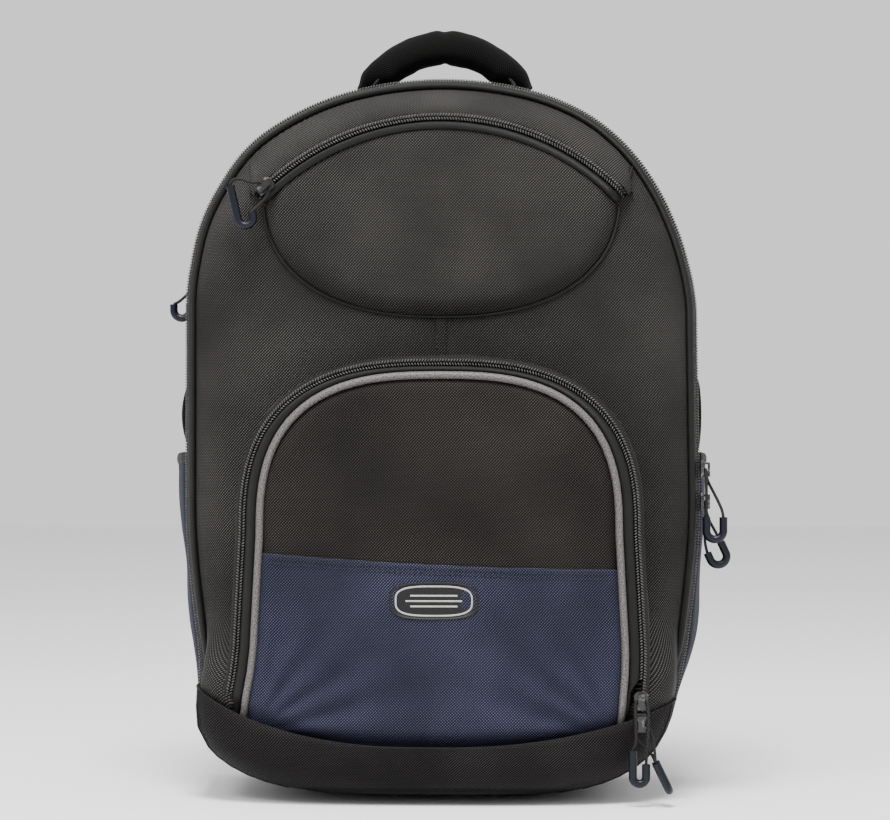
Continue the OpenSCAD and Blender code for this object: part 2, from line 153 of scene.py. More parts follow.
class Shader:
    """A material under construction. Values set by name go straight to the surface's own sockets."""

    def __init__(self, name, **values):
        self.material = bpy.data.materials.new(name)
        self.material.use_nodes = True
        self.tree = self.material.node_tree
        self.surface = self.tree.nodes["Principled BSDF"]
        for socket, value in values.items():
            self.surface.inputs[socket.replace("_", " ")].default_value = value
        self.height = None

    def add(self, kind, **settings):
        node = self.tree.nodes.new(kind)
        for key, value in settings.items():
            setattr(node, key, value)
        return node

    def feed(self, socket, value):
        if isinstance(value, bpy.types.NodeSocket):
            self.tree.links.new(value, socket)
        else:
            socket.default_value = value

    def math(self, operation, a, b=0.0):
        node = self.add("ShaderNodeMath", operation=operation)
        self.feed(node.inputs[0], a)
        self.feed(node.inputs[1], b)
        return node.outputs[0]

    def times(self, a, b):
        return self.math("MULTIPLY", a, b)

    def plus(self, a, b):
        return self.math("ADD", a, b)

    def uv(self):
        split = self.add("ShaderNodeSeparateXYZ")
        self.feed(split.inputs[0], self.add("ShaderNodeTexCoord").outputs["UV"])
        return split.outputs[0], split.outputs[1]

    def wave(self, phase, pitch):
        """A ripple from 0 to 1 that repeats each pitch."""
        ripple = self.math("SINE", self.times(phase, 2 * math.pi / pitch))
        return self.plus(self.times(ripple, 0.5), 0.5)

    def noise(self, scale, detail=3.0, stretch=(1, 1, 1), flat=False):
        """Cloudy noise from 0 to 1, in the space of the piece, or along its fabric where flat is true."""
        place = self.add("ShaderNodeMapping")
        coordinates = self.add("ShaderNodeTexCoord")
        self.feed(place.inputs[0], coordinates.outputs["UV" if flat else "Object"])
        place.inputs["Scale"].default_value = stretch
        cloud = self.add("ShaderNodeTexNoise")
        self.feed(cloud.inputs["Vector"], place.outputs[0])
        cloud.inputs["Scale"].default_value = scale
        cloud.inputs["Detail"].default_value = detail
        return cloud.outputs["Fac"]

    def spread(self, value, start, end, low_value=0.0, high_value=1.0):
        node = self.add("ShaderNodeMapRange")
        for socket, v in zip(node.inputs[:5], (value, start, end, low_value, high_value)):
            self.feed(socket, v)
        return node.outputs[0]

    def colour(self, factor, dark, light):
        node = self.add("ShaderNodeMix", data_type="RGBA")
        self.feed(node.inputs[0], factor)
        node.inputs[6].default_value = (*dark, 1)
        node.inputs[7].default_value = (*light, 1)
        return node.outputs[2]

    def paint(self, factor, dark, light):
        self.feed(self.surface.inputs["Base Color"], self.colour(factor, dark, light))

    def rough(self, factor, smooth, coarse):
        self.feed(self.surface.inputs["Roughness"], self.spread(factor, 0, 1, smooth, coarse))

    def bump(self, height, depth, strength=1.0):
        """Raises the surface by height times depth, in millimetres, on top of any bump before it."""
        node = self.add("ShaderNodeBump")
        node.inputs["Distance"].default_value = depth * MM
        node.inputs["Strength"].default_value = strength
        self.feed(node.inputs["Height"], height)
        if self.height is not None:
            self.feed(node.inputs["Normal"], self.height)
        self.height = node.outputs[0]
        self.feed(self.surface.inputs["Normal"], self.height)


def polyester(name, dark, light, pitch=1.42, relief=0.32, shine=0.14):
    """Coated polyester: bright dots of thread in diagonal rows, over cloudy wear."""
    s = Shader(name, Roughness=0.7, Sheen_Weight=0.02, Specular_IOR_Level=shine)
    u, v = s.uv()
    rows = s.wave(s.math("SUBTRACT", u, s.times(v, 0.92)), pitch * 1.36)
    across = s.wave(s.plus(u, s.times(v, 1.08)), pitch * 1.36)
    dots = s.times(rows, s.plus(s.times(across, 0.7), 0.3))
    thread = s.noise(0.55, 2, (1, 3.5, 1), flat=True)
    clouds = s.noise(14, 5)
    tone = s.plus(s.times(dots, 0.85), s.times(thread, 0.3))
    tone = s.times(tone, s.spread(clouds, 0.3, 0.7, 0.8, 1.1))
    s.paint(s.math("POWER", tone, 3.2), dark, light)
    s.bump(s.noise(60, 4), 0.5, 0.6)
    s.bump(dots, relief)
    return s.material


def zip_tape(name):
    """Close-woven tape with a soft shine along its fold."""
    s = Shader(name, Roughness=0.45, Specular_IOR_Level=0.16)
    u, v = s.uv()
    ribs = s.wave(s.plus(u, v), 0.9)
    s.paint(s.plus(s.times(ribs, 0.5), s.times(s.noise(90, 3), 0.5)),
            (0.002, 0.002, 0.002), (0.012, 0.0115, 0.011))
    s.bump(s.noise(120, 3), 0.3, 0.5)
    s.bump(ribs, 0.12)
    return s.material


def webbing(name):
    """Flat webbing: ribs along it and a herringbone of coarse threads across it."""
    s = Shader(name, Roughness=0.62, Sheen_Weight=0.03, Specular_IOR_Level=0.18)
    u, v = s.uv()
    ribs = s.wave(v, 2.4)
    slant = s.math("ABSOLUTE", s.math("SINE", s.times(v, math.pi / 2.4)))
    picks = s.wave(s.plus(u, s.times(slant, 1.1)), 1.5)
    weave = s.times(s.plus(s.times(ribs, 0.5), 0.5), picks)
    s.paint(s.plus(s.times(weave, 0.8), s.times(s.noise(70), 0.2)),
            (0.003, 0.003, 0.003), (0.020, 0.0195, 0.019))
    s.bump(weave, 0.35)
    return s.material


def air_mesh(name):
    """Spacer mesh over foam: rows of small open cells, offset from row to row."""
    s = Shader(name, Roughness=0.9, Sheen_Weight=0.05, Specular_IOR_Level=0.1)
    u, v = s.uv()
    shifted = s.plus(u, s.times(s.math("FLOOR", s.math("DIVIDE", v, 2.2)), 1.3))
    cells = s.times(s.wave(shifted, 2.6), s.wave(v, 2.2))
    s.paint(s.spread(cells, 0.35, 0.75, 1, 0), (0.004, 0.004, 0.004), (0.036, 0.035, 0.034))
    s.bump(s.noise(40, 3), 0.8, 0.5)
    s.bump(s.spread(cells, 0.3, 0.7, 1, 0), 0.7)
    return s.material


def reflective(name):
    """Grey reflective tape: fine glass beads with darker specks between them."""
    s = Shader(name, Roughness=0.5, Specular_IOR_Level=0.3)
    speck = s.noise(1.1, 2, flat=True)
    s.paint(s.spread(speck, 0.34, 0.64), (0.02, 0.019, 0.018), (0.15, 0.138, 0.134))
    s.rough(s.noise(300, 2), 0.35, 0.6)
    s.bump(speck, 0.22)
    return s.material


def coil_nylon(name):
    """Zip coil: dark nylon with a sharp glint on each tooth."""
    s = Shader(name, Roughness=0.32, Specular_IOR_Level=0.4)
    s.paint(s.noise(420, 2), (0.003, 0.003, 0.003), (0.085, 0.082, 0.078))
    s.bump(s.noise(700, 2), 0.15)
    return s.material


def enamel(name):
    """Black enamel over cast metal, worn a little on its high spots."""
    s = Shader(name, Metallic=0.55, Coat_Weight=0.4, Coat_Roughness=0.2)
    wear = s.noise(260, 4)
    s.paint(s.spread(wear, 0.55, 0.78), (0.013, 0.013, 0.014), (0.20, 0.19, 0.18))
    s.rough(wear, 0.2, 0.45)
    s.bump(wear, 0.12)
    return s.material


def moulded_grip(name):
    """Satin moulded rubber of a very dark blue-grey."""
    s = Shader(name, Coat_Weight=0.08, Coat_Roughness=0.2, Specular_IOR_Level=0.2)
    fine = s.noise(500, 3)
    s.paint(fine, (0.001, 0.0014, 0.004), (0.0035, 0.005, 0.011))
    s.rough(s.noise(60, 3), 0.28, 0.5)
    s.bump(fine, 0.05)
    return s.material


def plastic(name, dark, light, grain=0.08):
    s = Shader(name, Specular_IOR_Level=0.25)
    fine = s.noise(650, 3)
    s.paint(fine, dark, light)
    s.rough(fine, 0.4, 0.62)
    s.bump(fine, grain)
    return s.material


def braid(name):
    """Thin braided cord: two sets of strands that cross."""
    s = Shader(name, Roughness=0.7, Specular_IOR_Level=0.15)
    u, v = s.uv()
    one = s.wave(s.plus(s.times(u, 60), s.times(v, 6)), 2)
    two = s.wave(s.math("SUBTRACT", s.times(u, 60), s.times(v, 6)), 2)
    strands = s.math("MAXIMUM", one, two)
    s.paint(strands, (0.003, 0.003, 0.003), (0.016, 0.015, 0.015))
    s.bump(strands, 0.2)
    return s.material


def thread(name):
    s = Shader(name, Roughness=0.55, Specular_IOR_Level=0.2)
    s.paint(s.noise(900, 2), (0.003, 0.003, 0.004), (0.022, 0.022, 0.024))
    s.bump(s.noise(1500, 2), 0.1)
    return s.material


def lining_cloth(name):
    """Plain-woven lining: small squares, dull."""
    s = Shader(name, Roughness=0.88, Sheen_Weight=0.1)
    u, v = s.uv()
    weave = s.times(s.wave(u, 1.1), s.wave(v, 1.1))
    s.paint(s.plus(s.times(weave, 0.6), s.times(s.noise(30, 4), 0.4)),
            (0.020, 0.020, 0.020), (0.075, 0.074, 0.072))
    s.bump(weave, 0.2)
    return s.material


BLACK = polyester("black_polyester", (0.0004, 0.0004, 0.0003), (0.082, 0.068, 0.062), shine=0.1)
FINE_BLACK = polyester("fine_black_polyester", (0.0005, 0.0005, 0.0005), (0.020, 0.018, 0.017), pitch=1.2,
                       shine=0.05)
BOOT_BLACK = polyester("boot_polyester", (0.0004, 0.0004, 0.0004), (0.060, 0.052, 0.052), shine=0.07)
CHARCOAL = polyester("charcoal_polyester", (0.0008, 0.0008, 0.0007), (0.122, 0.113, 0.105), shine=0.12)
NAVY = polyester("navy_polyester", (0.001, 0.0014, 0.004), (0.098, 0.100, 0.190), relief=0.26)
TAPE = zip_tape("zip_tape")
COIL = coil_nylon("zip_coil")
WEBBING = webbing("webbing")
MESH = air_mesh("air_mesh")
REFLECTIVE = reflective("reflective_tape")
METAL = enamel("slider_enamel")
GRIP = moulded_grip("grip_rubber")
BUCKLE = plastic("buckle_plastic", (0.008, 0.008, 0.008), (0.024, 0.024, 0.024))
BADGE = plastic("badge_rubber", (0.002, 0.002, 0.002), (0.008, 0.008, 0.008))
BADGE_LINE = plastic("badge_line", (0.24, 0.24, 0.23), (0.42, 0.42, 0.41))
BOARD = plastic("board_plastic", (0.016, 0.016, 0.016), (0.04, 0.04, 0.04), 0.2)
CORD = braid("cord_braid")
THREAD = thread("sewing_thread")
LINING = lining_cloth("lining")


# ---------------------------------------------------------------- cords

CORD_D = 0.002
ROUTES = {
    "main_upper": [
        (0.173, -0.0405, 0.183), (0.173, -0.0406, 0.19), (0.173, -0.0406, 0.198),
        (0.173, -0.0403, 0.205), (0.173, -0.0392, 0.2104), (0.1729, -0.037, 0.2132),
        (0.1728, -0.0352, 0.2139), (0.1728, -0.03325, 0.214), (0.1728, -0.0313, 0.2139),
        (0.173, -0.0296, 0.213), (0.1736, -0.0284, 0.21), (0.175, -0.0282, 0.2055),
        (0.178, -0.0296, 0.1995), (0.181, -0.0332, 0.1932), (0.1832, -0.0378, 0.1876),
        (0.184, -0.0405, 0.183)],
    "main_lower": [
        (0.1741, -0.031, 0.1592), (0.1726, -0.032, 0.166), (0.1723, -0.0336, 0.174),
        (0.1726, -0.0354, 0.181), (0.1728, -0.0368, 0.1866), (0.1728, -0.0369, 0.1904),
        (0.1728, -0.0359, 0.1924), (0.1728, -0.0346, 0.1929), (0.1728, -0.03325, 0.193),
        (0.1728, -0.0319, 0.1929), (0.1728, -0.0306, 0.1924), (0.173, -0.0292, 0.1904),
        (0.1738, -0.0286, 0.186), (0.1758, -0.0284, 0.18), (0.1794, -0.0296, 0.1732),
        (0.1828, -0.031, 0.1666)],
    "rear": [
        (-0.1756, 0.041, 0.326), (-0.1746, 0.0386, 0.33), (-0.1736, 0.0369, 0.335),
        (-0.1726, 0.0366, 0.339), (-0.1719, 0.0382, 0.3406), (-0.1717, 0.041, 0.341),
        (-0.1718, 0.0438, 0.3406), (-0.173, 0.0454, 0.3386), (-0.1756, 0.0452, 0.3354),
        (-0.1792, 0.0438, 0.3316), (-0.1828, 0.0422, 0.3282), (-0.1866, 0.041, 0.326)],
    "top_pocket": [
        (-0.122, -0.0645, 0.3809), (-0.1175, -0.0647, 0.3855), (-0.1134, -0.0648, 0.3899),
        (-0.1117, -0.0647, 0.3931), (-0.1123, -0.0645, 0.3961), (-0.114, -0.0645, 0.3979),
        (-0.1157, -0.0645, 0.3997), (-0.118, -0.0646, 0.4004), (-0.1214, -0.0648, 0.4002),
        (-0.125, -0.065, 0.401), (-0.129, -0.065, 0.4024), (-0.133, -0.0648, 0.4024),
        (-0.1356, -0.0646, 0.4006), (-0.1362, -0.0645, 0.3979)],
    "pocket_upper": [
        (0.1234, -0.093, 0.0364), (0.1243, -0.093, 0.0382), (0.1252, -0.0929, 0.0408),
        (0.1255, -0.0925, 0.046), (0.1254, -0.0914, 0.053), (0.1252, -0.0896, 0.06),
        (0.1252, -0.0883, 0.0642), (0.126, -0.0876, 0.0664), (0.1274, -0.0875, 0.067),
        (0.129, -0.0875, 0.0671), (0.1306, -0.0875, 0.067), (0.132, -0.0876, 0.0664),
        (0.1329, -0.0883, 0.0642), (0.1333, -0.09, 0.06), (0.1333, -0.0918, 0.052),
        (0.1329, -0.0929, 0.044), (0.1322, -0.0931, 0.035), (0.1318, -0.093, 0.0276)],
    "pocket_lower": [
        (0.1378, -0.0846, 0.0286), (0.1358, -0.0859, 0.0328), (0.1324, -0.0868, 0.0366),
        (0.1286, -0.0872, 0.0404), (0.1259, -0.0874, 0.0446), (0.1253, -0.0875, 0.049),
        (0.1266, -0.0875, 0.0524), (0.129, -0.0875, 0.053), (0.1314, -0.0875, 0.0524),
        (0.134, -0.0877, 0.05), (0.136, -0.0888, 0.045), (0.137, -0.091, 0.0386),
        (0.1374, -0.093, 0.0334), (0.1378, -0.0946, 0.0286)],
}
PULLS = list(ROUTES)


def smooth_route(points, steps=4):
    """Points on one smooth curve through the route's points."""
    p = np.array([points[0], *points, points[-1]], float)
    made = []
    for k in range(1, len(p) - 2):
        for t in np.arange(steps) / steps:
            a, b, c, d = p[k - 1], p[k], p[k + 1], p[k + 2]
            made.append(0.5 * (2 * b + (c - a) * t + (2 * a - 5 * b + 4 * c - d) * t ** 2
                               + (3 * b - a - 3 * c + d) * t ** 3))
    return np.array([*made, p[-1]])


def make_cord(name):
    points = smooth_route(ROUTES[name])
    data = bpy.data.curves.new("cord_" + name + "_line", "CURVE")
    data.dimensions = "3D"
    data.bevel_depth = CORD_D / 2
    data.bevel_resolution = 3
    data.use_fill_caps = True
    spline = data.splines.new("POLY")
    spline.points.add(len(points) - 1)
    for point, place in zip(spline.points, points):
        point.co = (*place, 1)
    piece = bpy.data.objects.new("pull_cord_" + name, data)
    bpy.context.collection.objects.link(piece)
    data.materials.append(CORD)
    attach(piece, "pull_" + name)
    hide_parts("cord_" + name)
    return piece, float(np.linalg.norm(np.diff(points, axis=0), axis=1).sum())


cords = {name: make_cord(name) for name in PULLS}


# ---------------------------------------------------------------- lines and meshes

def run_along(points):
    """The distance along a path to each of its points."""
    return np.concatenate([[0], np.cumsum(np.linalg.norm(np.diff(points, axis=0), axis=1))])


def at_marks(marks, run, values):
    """The values that belong to a path's points, read off at distances along it."""
    return np.stack([np.interp(marks, run, values[:, k]) for k in range(values.shape[1])], 1)


def resample(points, step):
    points = np.array(points, float)
    run = run_along(points)
    count = max(2, int(round(run[-1] / step)) + 1)
    marks = np.linspace(0, run[-1], count)
    return at_marks(marks, run, points), marks


class Line:
    """A line in X and Z, drawn left to right over the top, with the direction out of it at each point."""

    def __init__(self, points, step=5.0):
        self.points, self.run = resample(points, step)
        slope = np.gradient(self.points, axis=0)
        slope /= np.linalg.norm(slope, axis=1)[:, None]
        self.out = np.stack([-slope[:, 1], slope[:, 0]], 1)

    def moved(self, out):
        """The line's points moved out, by one distance or one for each point."""
        return self.points + self.out * np.reshape(out, (-1, 1))


def super_quarter(a, b, n, turn):
    return a * math.cos(turn) ** (2 / n), b * math.sin(turn) ** (2 / n)


def both_sides(right):
    """A line over the top from the right half of a shape, which is given from the crown to the foot."""
    left = [(-x, z) for x, z in reversed(right)]
    return left[:-1] + right if right[0][0] < 1e-6 else left + right


def outline_half():
    points = []
    meet = math.atan2(SHOULDER_Z - (CROWN_Z - CROWN_R), HALF_W - HAUNCH_R)
    for a in np.linspace(math.pi / 2, meet, 14):
        points.append((CROWN_R * math.cos(a), CROWN_Z - CROWN_R + CROWN_R * math.sin(a)))
    for a in np.linspace(meet, 0, 26)[1:]:
        points.append((HALF_W - HAUNCH_R + HAUNCH_R * math.cos(a), SHOULDER_Z + HAUNCH_R * math.sin(a)))
    points[0] = (0.0, CROWN_Z)
    points.append((HALF_W, TAPER_Z + 25))
    for t in np.linspace(0, 1, 8)[1:]:
        ease = t * t * (2 - t)
        points.append((HALF_W - TAPER_IN * ease, TAPER_Z + 25 - t * (TAPER_Z + 25 - FOOT_Z)))
    for a in np.linspace(0, math.pi / 2, 12)[1:]:
        x, z = super_quarter(HALF_W - TAPER_IN - FOOT_HALF_W, FOOT_Z, 2.45, a)
        points.append((FOOT_HALF_W + x, FOOT_Z - z))
    return points


def above(points, z):
    """The part of a line that lies above a height, with its ends at that height."""
    kept = []
    for (xa, za), (xb, zb) in zip(points, points[1:]):
        if (za - z) * (zb - z) < 0:
            t = (z - za) / (zb - za)
            kept.append((xa + (xb - xa) * t, z))
        if zb >= z:
            kept.append((xb, zb))
    if points[0][1] >= z:
        kept.insert(0, points[0])
    return kept


def sway(x, z):
    """How far the soft outline of the bag stands off its even shape, to the left or the right."""
    if x < 0:
        return float(np.interp(z, (352, 378, 404, 424, 434, 450, 468), (0, -1.8, -2.6, -4.8, -4.8, -2.2, 0)))
    return float(np.interp(z, (300, 325, 352, 378, 404, 424, 446), (0, -2.4, -4.4, -5.0, -4.0, -2.2, 0)))


OUTLINE = [(x + sway(x, z), z) for x, z in both_sides(outline_half())]


def pocket_half():
    points = []
    for a in np.linspace(math.pi / 2, 0, 22):
        x, z = super_quarter(POCKET_HALF_W, POCKET_ARCH_H, POCKET_N, max(a, 1e-6))
        points.append((x, POCKET_ARCH_Z + z))
    points[0] = (0.0, POCKET_ARCH_Z + POCKET_ARCH_H)
    points.append((POCKET_FOOT_HALF_W - 1, 59))
    points.append((POCKET_FOOT_HALF_W, 20))
    return points


POCKET = both_sides(pocket_half())


def seam_z(x):
    """Height of the seam along the top of the boot: it climbs to the corners, more on the left."""
    return 37.4 + (31 if x < 0 else 24) * (min(abs(x), 150) / 139) ** 2.5


def width_of(half, z):
    """Half of the width, at a height, of a shape given by its right half from the crown to the foot."""
    return float(np.interp(z, [p[1] for p in half][::-1], [p[0] for p in half][::-1]))


def half_width_at(z):
    return width_of(outline_half(), z)


BOOT_N = 3.4
BOOT_SIDE_Y = -36
BOOT_DEPTH = BOOT_SIDE_Y - BOOT_Y + 1
BOOT_CORNER_R = 8


def boot_plan_y(x, z):
    """How far forward the boot comes at each place across the bag."""
    share = min(abs(x) / half_width_at(z), 1)
    return BOOT_SIDE_Y - BOOT_DEPTH * (1 - share ** BOOT_N) ** (1 / BOOT_N)


def lean(z):
    """How far the soft foot of the bag sits over to the left."""
    return np.interp(z, [0, 7, 15, 32, 47, 62, 85, 100], [0, -3, -4.6, -6, -6, -4, -1, 0])


def ripple(x, z, size, seed, stretch=1.0, turn=0.0):
    """Smooth noise from -1 to 1 over a surface, stretched along a direction."""
    c, s = math.cos(turn), math.sin(turn)
    a, b = (x * c + z * s) / (size * stretch), (-x * s + z * c) / size
    return noise.noise(Vector((a, b, seed))) + 0.4 * noise.noise(Vector((2.1 * a, 2.1 * b, seed + 7)))


def cloth_uv(x, y, z):
    """Where a point lies on the flat cloth of the bag's front, which turns back at its sides."""
    turned = min(max((abs(x) - 110) / 40, 0), 1)
    return x + math.copysign(turned, x) * (y - WALL_Y), z


def link(piece):
    bpy.context.collection.objects.link(piece)
    return piece


def finished(piece, body, replaces=(), join=None):
    """Gives a piece its body, or bakes its place into its mesh where join is given, and hides the CAD nodes it
    stands for.
    """
    if join is None:
        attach(piece, body)
    else:
        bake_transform(piece)
    if replaces:
        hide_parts(*replaces)
    return piece


POCKET_TUCK = 6.5
BEHIND_BOOT = 5
ZIP_END_TURN = 43.5
ZIP_END_TUCK = 14


def tucked(points):
    """The points, with those near the boot's seam and the top zip's ends drawn in behind the fabric."""
    for p in points:
        if p[Y] < -70:
            back = max(POCKET_TUCK, boot_plan_y(p[X], p[Z]) + BEHIND_BOOT - p[Y])
            p[Y] += back * smooth_step((seam_z(p[X]) + 10 - p[Z]) / 12)
        elif p[Y] < -52 and p[Z] > 350:
            turn = math.degrees(math.atan2(abs(p[X]), p[Z] - TOP_ARC_Z))
            p[Y] += ZIP_END_TUCK * smooth_step((turn - ZIP_END_TURN) / 3.4)
    return points


def grid_piece(name, grid, uv, material, wrap=False, caps=False, outward=None, leans=True, tucks=False):
    """A mesh over rows and columns of points in millimetres. wrap closes each row on itself."""
    grid = np.array(grid, float)
    uv = np.array(uv, float)
    rows, columns = grid.shape[:2]
    flat = grid.reshape(-1, 3).copy()
    if tucks:
        flat = tucked(flat)
    if leans:
        flat[:, X] += lean(flat[:, Z])
    faces, corner_uv = [], []
    for r in range(rows - 1):
        for c in range(columns if wrap else columns - 1):
            d = (c + 1) % columns
            corners = [(r, c), (r, d), (r + 1, d), (r + 1, c)]
            faces.append([i * columns + j for i, j in corners])
            for i, j in corners:
                u, v = uv[i, j]
                if wrap and d == 0 and j == 0:
                    v = uv[i, -1][1] + np.linalg.norm(grid[i, 0] - grid[i, -1])
                corner_uv.append((u, v))
    if caps:
        for r in (0, rows - 1):
            faces.append([r * columns + c for c in range(columns)])
            corner_uv.extend(tuple(uv[r, c]) for c in range(columns))
    mesh = bpy.data.meshes.new(name)
    mesh.from_pydata([Vector(p) * MM for p in flat], [], faces)
    layer = mesh.uv_layers.new(name="weave")
    layer.data.foreach_set("uv", np.array(corner_uv, np.float32).ravel())
    mesh.polygons.foreach_set("use_smooth", [True] * len(mesh.polygons))
    mesh.materials.append(material)
    mesh.update()
    if outward is not None:
        lean_to = sum(p.normal.dot(outward(p.center)) * p.area for p in mesh.polygons)
        if lean_to < 0:
            mesh.flip_normals()
    return link(bpy.data.objects.new(name, mesh))


def surface(name, across, along, place, material, **options):
    """A mesh over a grid of values. place(u, v) gives a point, then its place on the cloth if not (x, z)."""
    grid, uv = [], []
    for u in across:
        points = [tuple(place(u, v)) for v in along]
        grid.append([p[:3] for p in points])
        uv.append([p[3:] or (p[0], p[2]) for p in points])
    return grid_piece(name, grid, uv, material, **options)


def eased(count):
    """Values from -1 to 1 that lie closer together towards both ends."""
    return np.sin(np.linspace(-math.pi / 2, math.pi / 2, count))


def turns(count):
    """Angles once round, without the last, which is the first again."""
    return np.linspace(0, 2 * math.pi, count, endpoint=False)


def rounded(part, power):
    """A cosine or sine pulled towards a square corner, with its sign kept."""
    return math.copysign(abs(part) ** power, part)


def crown(inset, reach, power):
    """Rise from 0 at an edge to 1 at a distance in from it, steep at first."""
    return 1 - (1 - min(inset / reach, 1)) ** power


def to_front(centre):
    return Vector((0, -1, 0))


def to_back(centre):
    return Vector((0, 1, 0))


def from_middle(centre):
    away = Vector((centre.x, 0, centre.z - 0.235))
    return away.normalized()


def baked(piece):
    """The piece with its modifiers applied."""
    depsgraph = bpy.context.evaluated_depsgraph_get()
    piece.data = bpy.data.meshes.new_from_object(piece.evaluated_get(depsgraph))
    piece.modifiers.clear()
    return piece


def thick(piece, thickness, lining=None):
    """Gives an open sheet its thickness on its inner side, lined where a lining is named."""
    solid = piece.modifiers.new("thickness", "SOLIDIFY")
    solid.thickness = thickness * MM
    solid.offset = -1
    if lining is not None:
        piece.data.materials.append(lining)
        solid.material_offset = 1
    return baked(piece)


def ribbon(name, line, profile, material, wrap=False, caps=False, outward=from_middle, wave=None, tucks=False):
    """A strip along a line. The profile is (out, y) pairs, or a function of (index, point) that gives them."""
    rows, uv = [], []
    for k, (point, out) in enumerate(zip(line.points, line.out)):
        pairs = profile(k, point) if callable(profile) else profile
        row, marks, along = [], [], 0.0
        for j, (o, y) in enumerate(pairs):
            if j:
                along += math.dist(pairs[j - 1], (o, y))
            if wave is not None:
                o = o + wave(line.run[k], y)
            x, z = point + out * o
            row.append((x, y, z))
            marks.append((line.run[k], along))
        rows.append(row)
        uv.append(marks)
    return grid_piece(name, rows, uv, material, wrap, caps, outward, True, tucks)


def bead_template():
    """A small round bead as points on a unit ball, and its faces."""
    sides, rings = 6, (50, 0, -50)
    points = [(0, 0, 1)]
    for lat in rings:
        for k in range(sides):
            a = 2 * math.pi * k / sides
            points.append((math.cos(a) * math.cos(math.radians(lat)),
                           math.sin(a) * math.cos(math.radians(lat)), math.sin(math.radians(lat))))
    points.append((0, 0, -1))
    faces = [(0, 1 + k, 1 + (k + 1) % sides) for k in range(sides)]
    for r in range(len(rings) - 1):
        for k in range(sides):
            a, b = 1 + r * sides + k, 1 + r * sides + (k + 1) % sides
            faces.append((a, a + sides, b + sides, b))
    last = len(points) - 1
    first = 1 + (len(rings) - 1) * sides
    faces += [(last, first + (k + 1) % sides, first + k) for k in range(sides)]
    return np.array(points), faces


BEAD, BEAD_FACES = bead_template()


def beads(name, places, along, across, up, sizes, material):
    """One mesh of many beads, each with its own three directions and the same three half sizes."""
    places, along, across, up = (np.array(a, float) for a in (places, along, across, up))
    parts = []
    for axis, size, k in ((along, sizes[0], 0), (across, sizes[1], 1), (up, sizes[2], 2)):
        parts.append(BEAD[None, :, k, None] * size * axis[:, None, :])
    points = places[:, None, :] + parts[0] + parts[1] + parts[2]
    flat = tucked(points.reshape(-1, 3))
    flat[:, X] += lean(flat[:, Z])
    faces = [[i + k * len(BEAD) for i in f] for k in range(len(places)) for f in BEAD_FACES]
    mesh = bpy.data.meshes.new(name)
    mesh.from_pydata([Vector(p) * MM for p in flat], [], faces)
    mesh.polygons.foreach_set("use_smooth", [True] * len(mesh.polygons))
    mesh.materials.append(material)
    return link(bpy.data.objects.new(name, mesh))


def along_line(line, out, y, pitch, phase=0.0):
    """Places each pitch along a line, with the directions along it and out of it."""
    path = np.insert(line.moved(out), 1, y, axis=1)
    run = run_along(path)
    marks = np.arange(pitch * (0.5 + phase), run[-1], pitch)
    places, outs = at_marks(marks, run, path), at_marks(marks, run, line.out)
    outs = np.insert(outs / np.linalg.norm(outs, axis=1)[:, None], 1, 0, axis=1)
    ahead = np.stack([outs[:, 2], 0 * outs[:, 0], -outs[:, 0]], 1)
    return places, ahead, outs


TOOTH_PITCH = 1.85
TOOTH = (0.64, 1.3, 0.68)
TOOTH_SLANT = math.radians(24)
FORWARD = np.array([0, -1.0, 0])


def slanted(ahead, across, hand):
    """The long direction of teeth that lean along the zip, one way in each of its two rows."""
    return across * math.cos(TOOTH_SLANT) + ahead * math.sin(TOOTH_SLANT) * hand


CHAIN_TURN = math.radians(40)


def edge_teeth(name, line, row, y):
    """A row of the coil that runs round the edge of the bag, turned so that it shows from the front."""
    share = (row + 1) / 2
    places, ahead, outs = along_line(line, 0.2 - 1.5 * share, y - 1.7 * share, TOOTH_PITCH, 0.5 * share)
    across = FORWARD * math.cos(CHAIN_TURN) - outs * math.sin(CHAIN_TURN)
    facing = outs * math.cos(CHAIN_TURN) + FORWARD * math.sin(CHAIN_TURN)
    return beads(name, places, ahead, slanted(ahead, across, row), facing, TOOTH, COIL)


def rear_teeth(name, line, y, row):
    """A row of the rear zip's coil, which faces straight out."""
    places, ahead, outs = along_line(line, 0.3, y + 1.05 * row, TOOTH_PITCH, 0.25 + 0.25 * row)
    across = np.tile(FORWARD, (len(places), 1))
    return beads(name, places, ahead, slanted(ahead, across, row), outs, TOOTH, COIL)


def front_teeth(name, line, out, y, row):
    """A row of coil teeth on the front of a pocket, each lying across the zip."""
    places, ahead, outs = along_line(line, out + 1.2 * row, y, TOOTH_PITCH, 0.25 + 0.25 * row)
    up = np.tile(FORWARD, (len(places), 1))
    return beads(name, places, ahead, slanted(ahead, outs, row), up, TOOTH, COIL)


def stitches(name, line, out, y, up=None, pitch=3.3):
    """A row of stitches along a line, lying on the surface."""
    places, ahead, outs = along_line(line, out, y, pitch)
    facing = np.tile(FORWARD, (len(places), 1)) if up is None else outs
    across = np.cross(ahead, facing)
    return beads(name, places, ahead, across, facing, (1.25, 0.3, 0.28), THREAD)


PUFF_FRAMES = 20


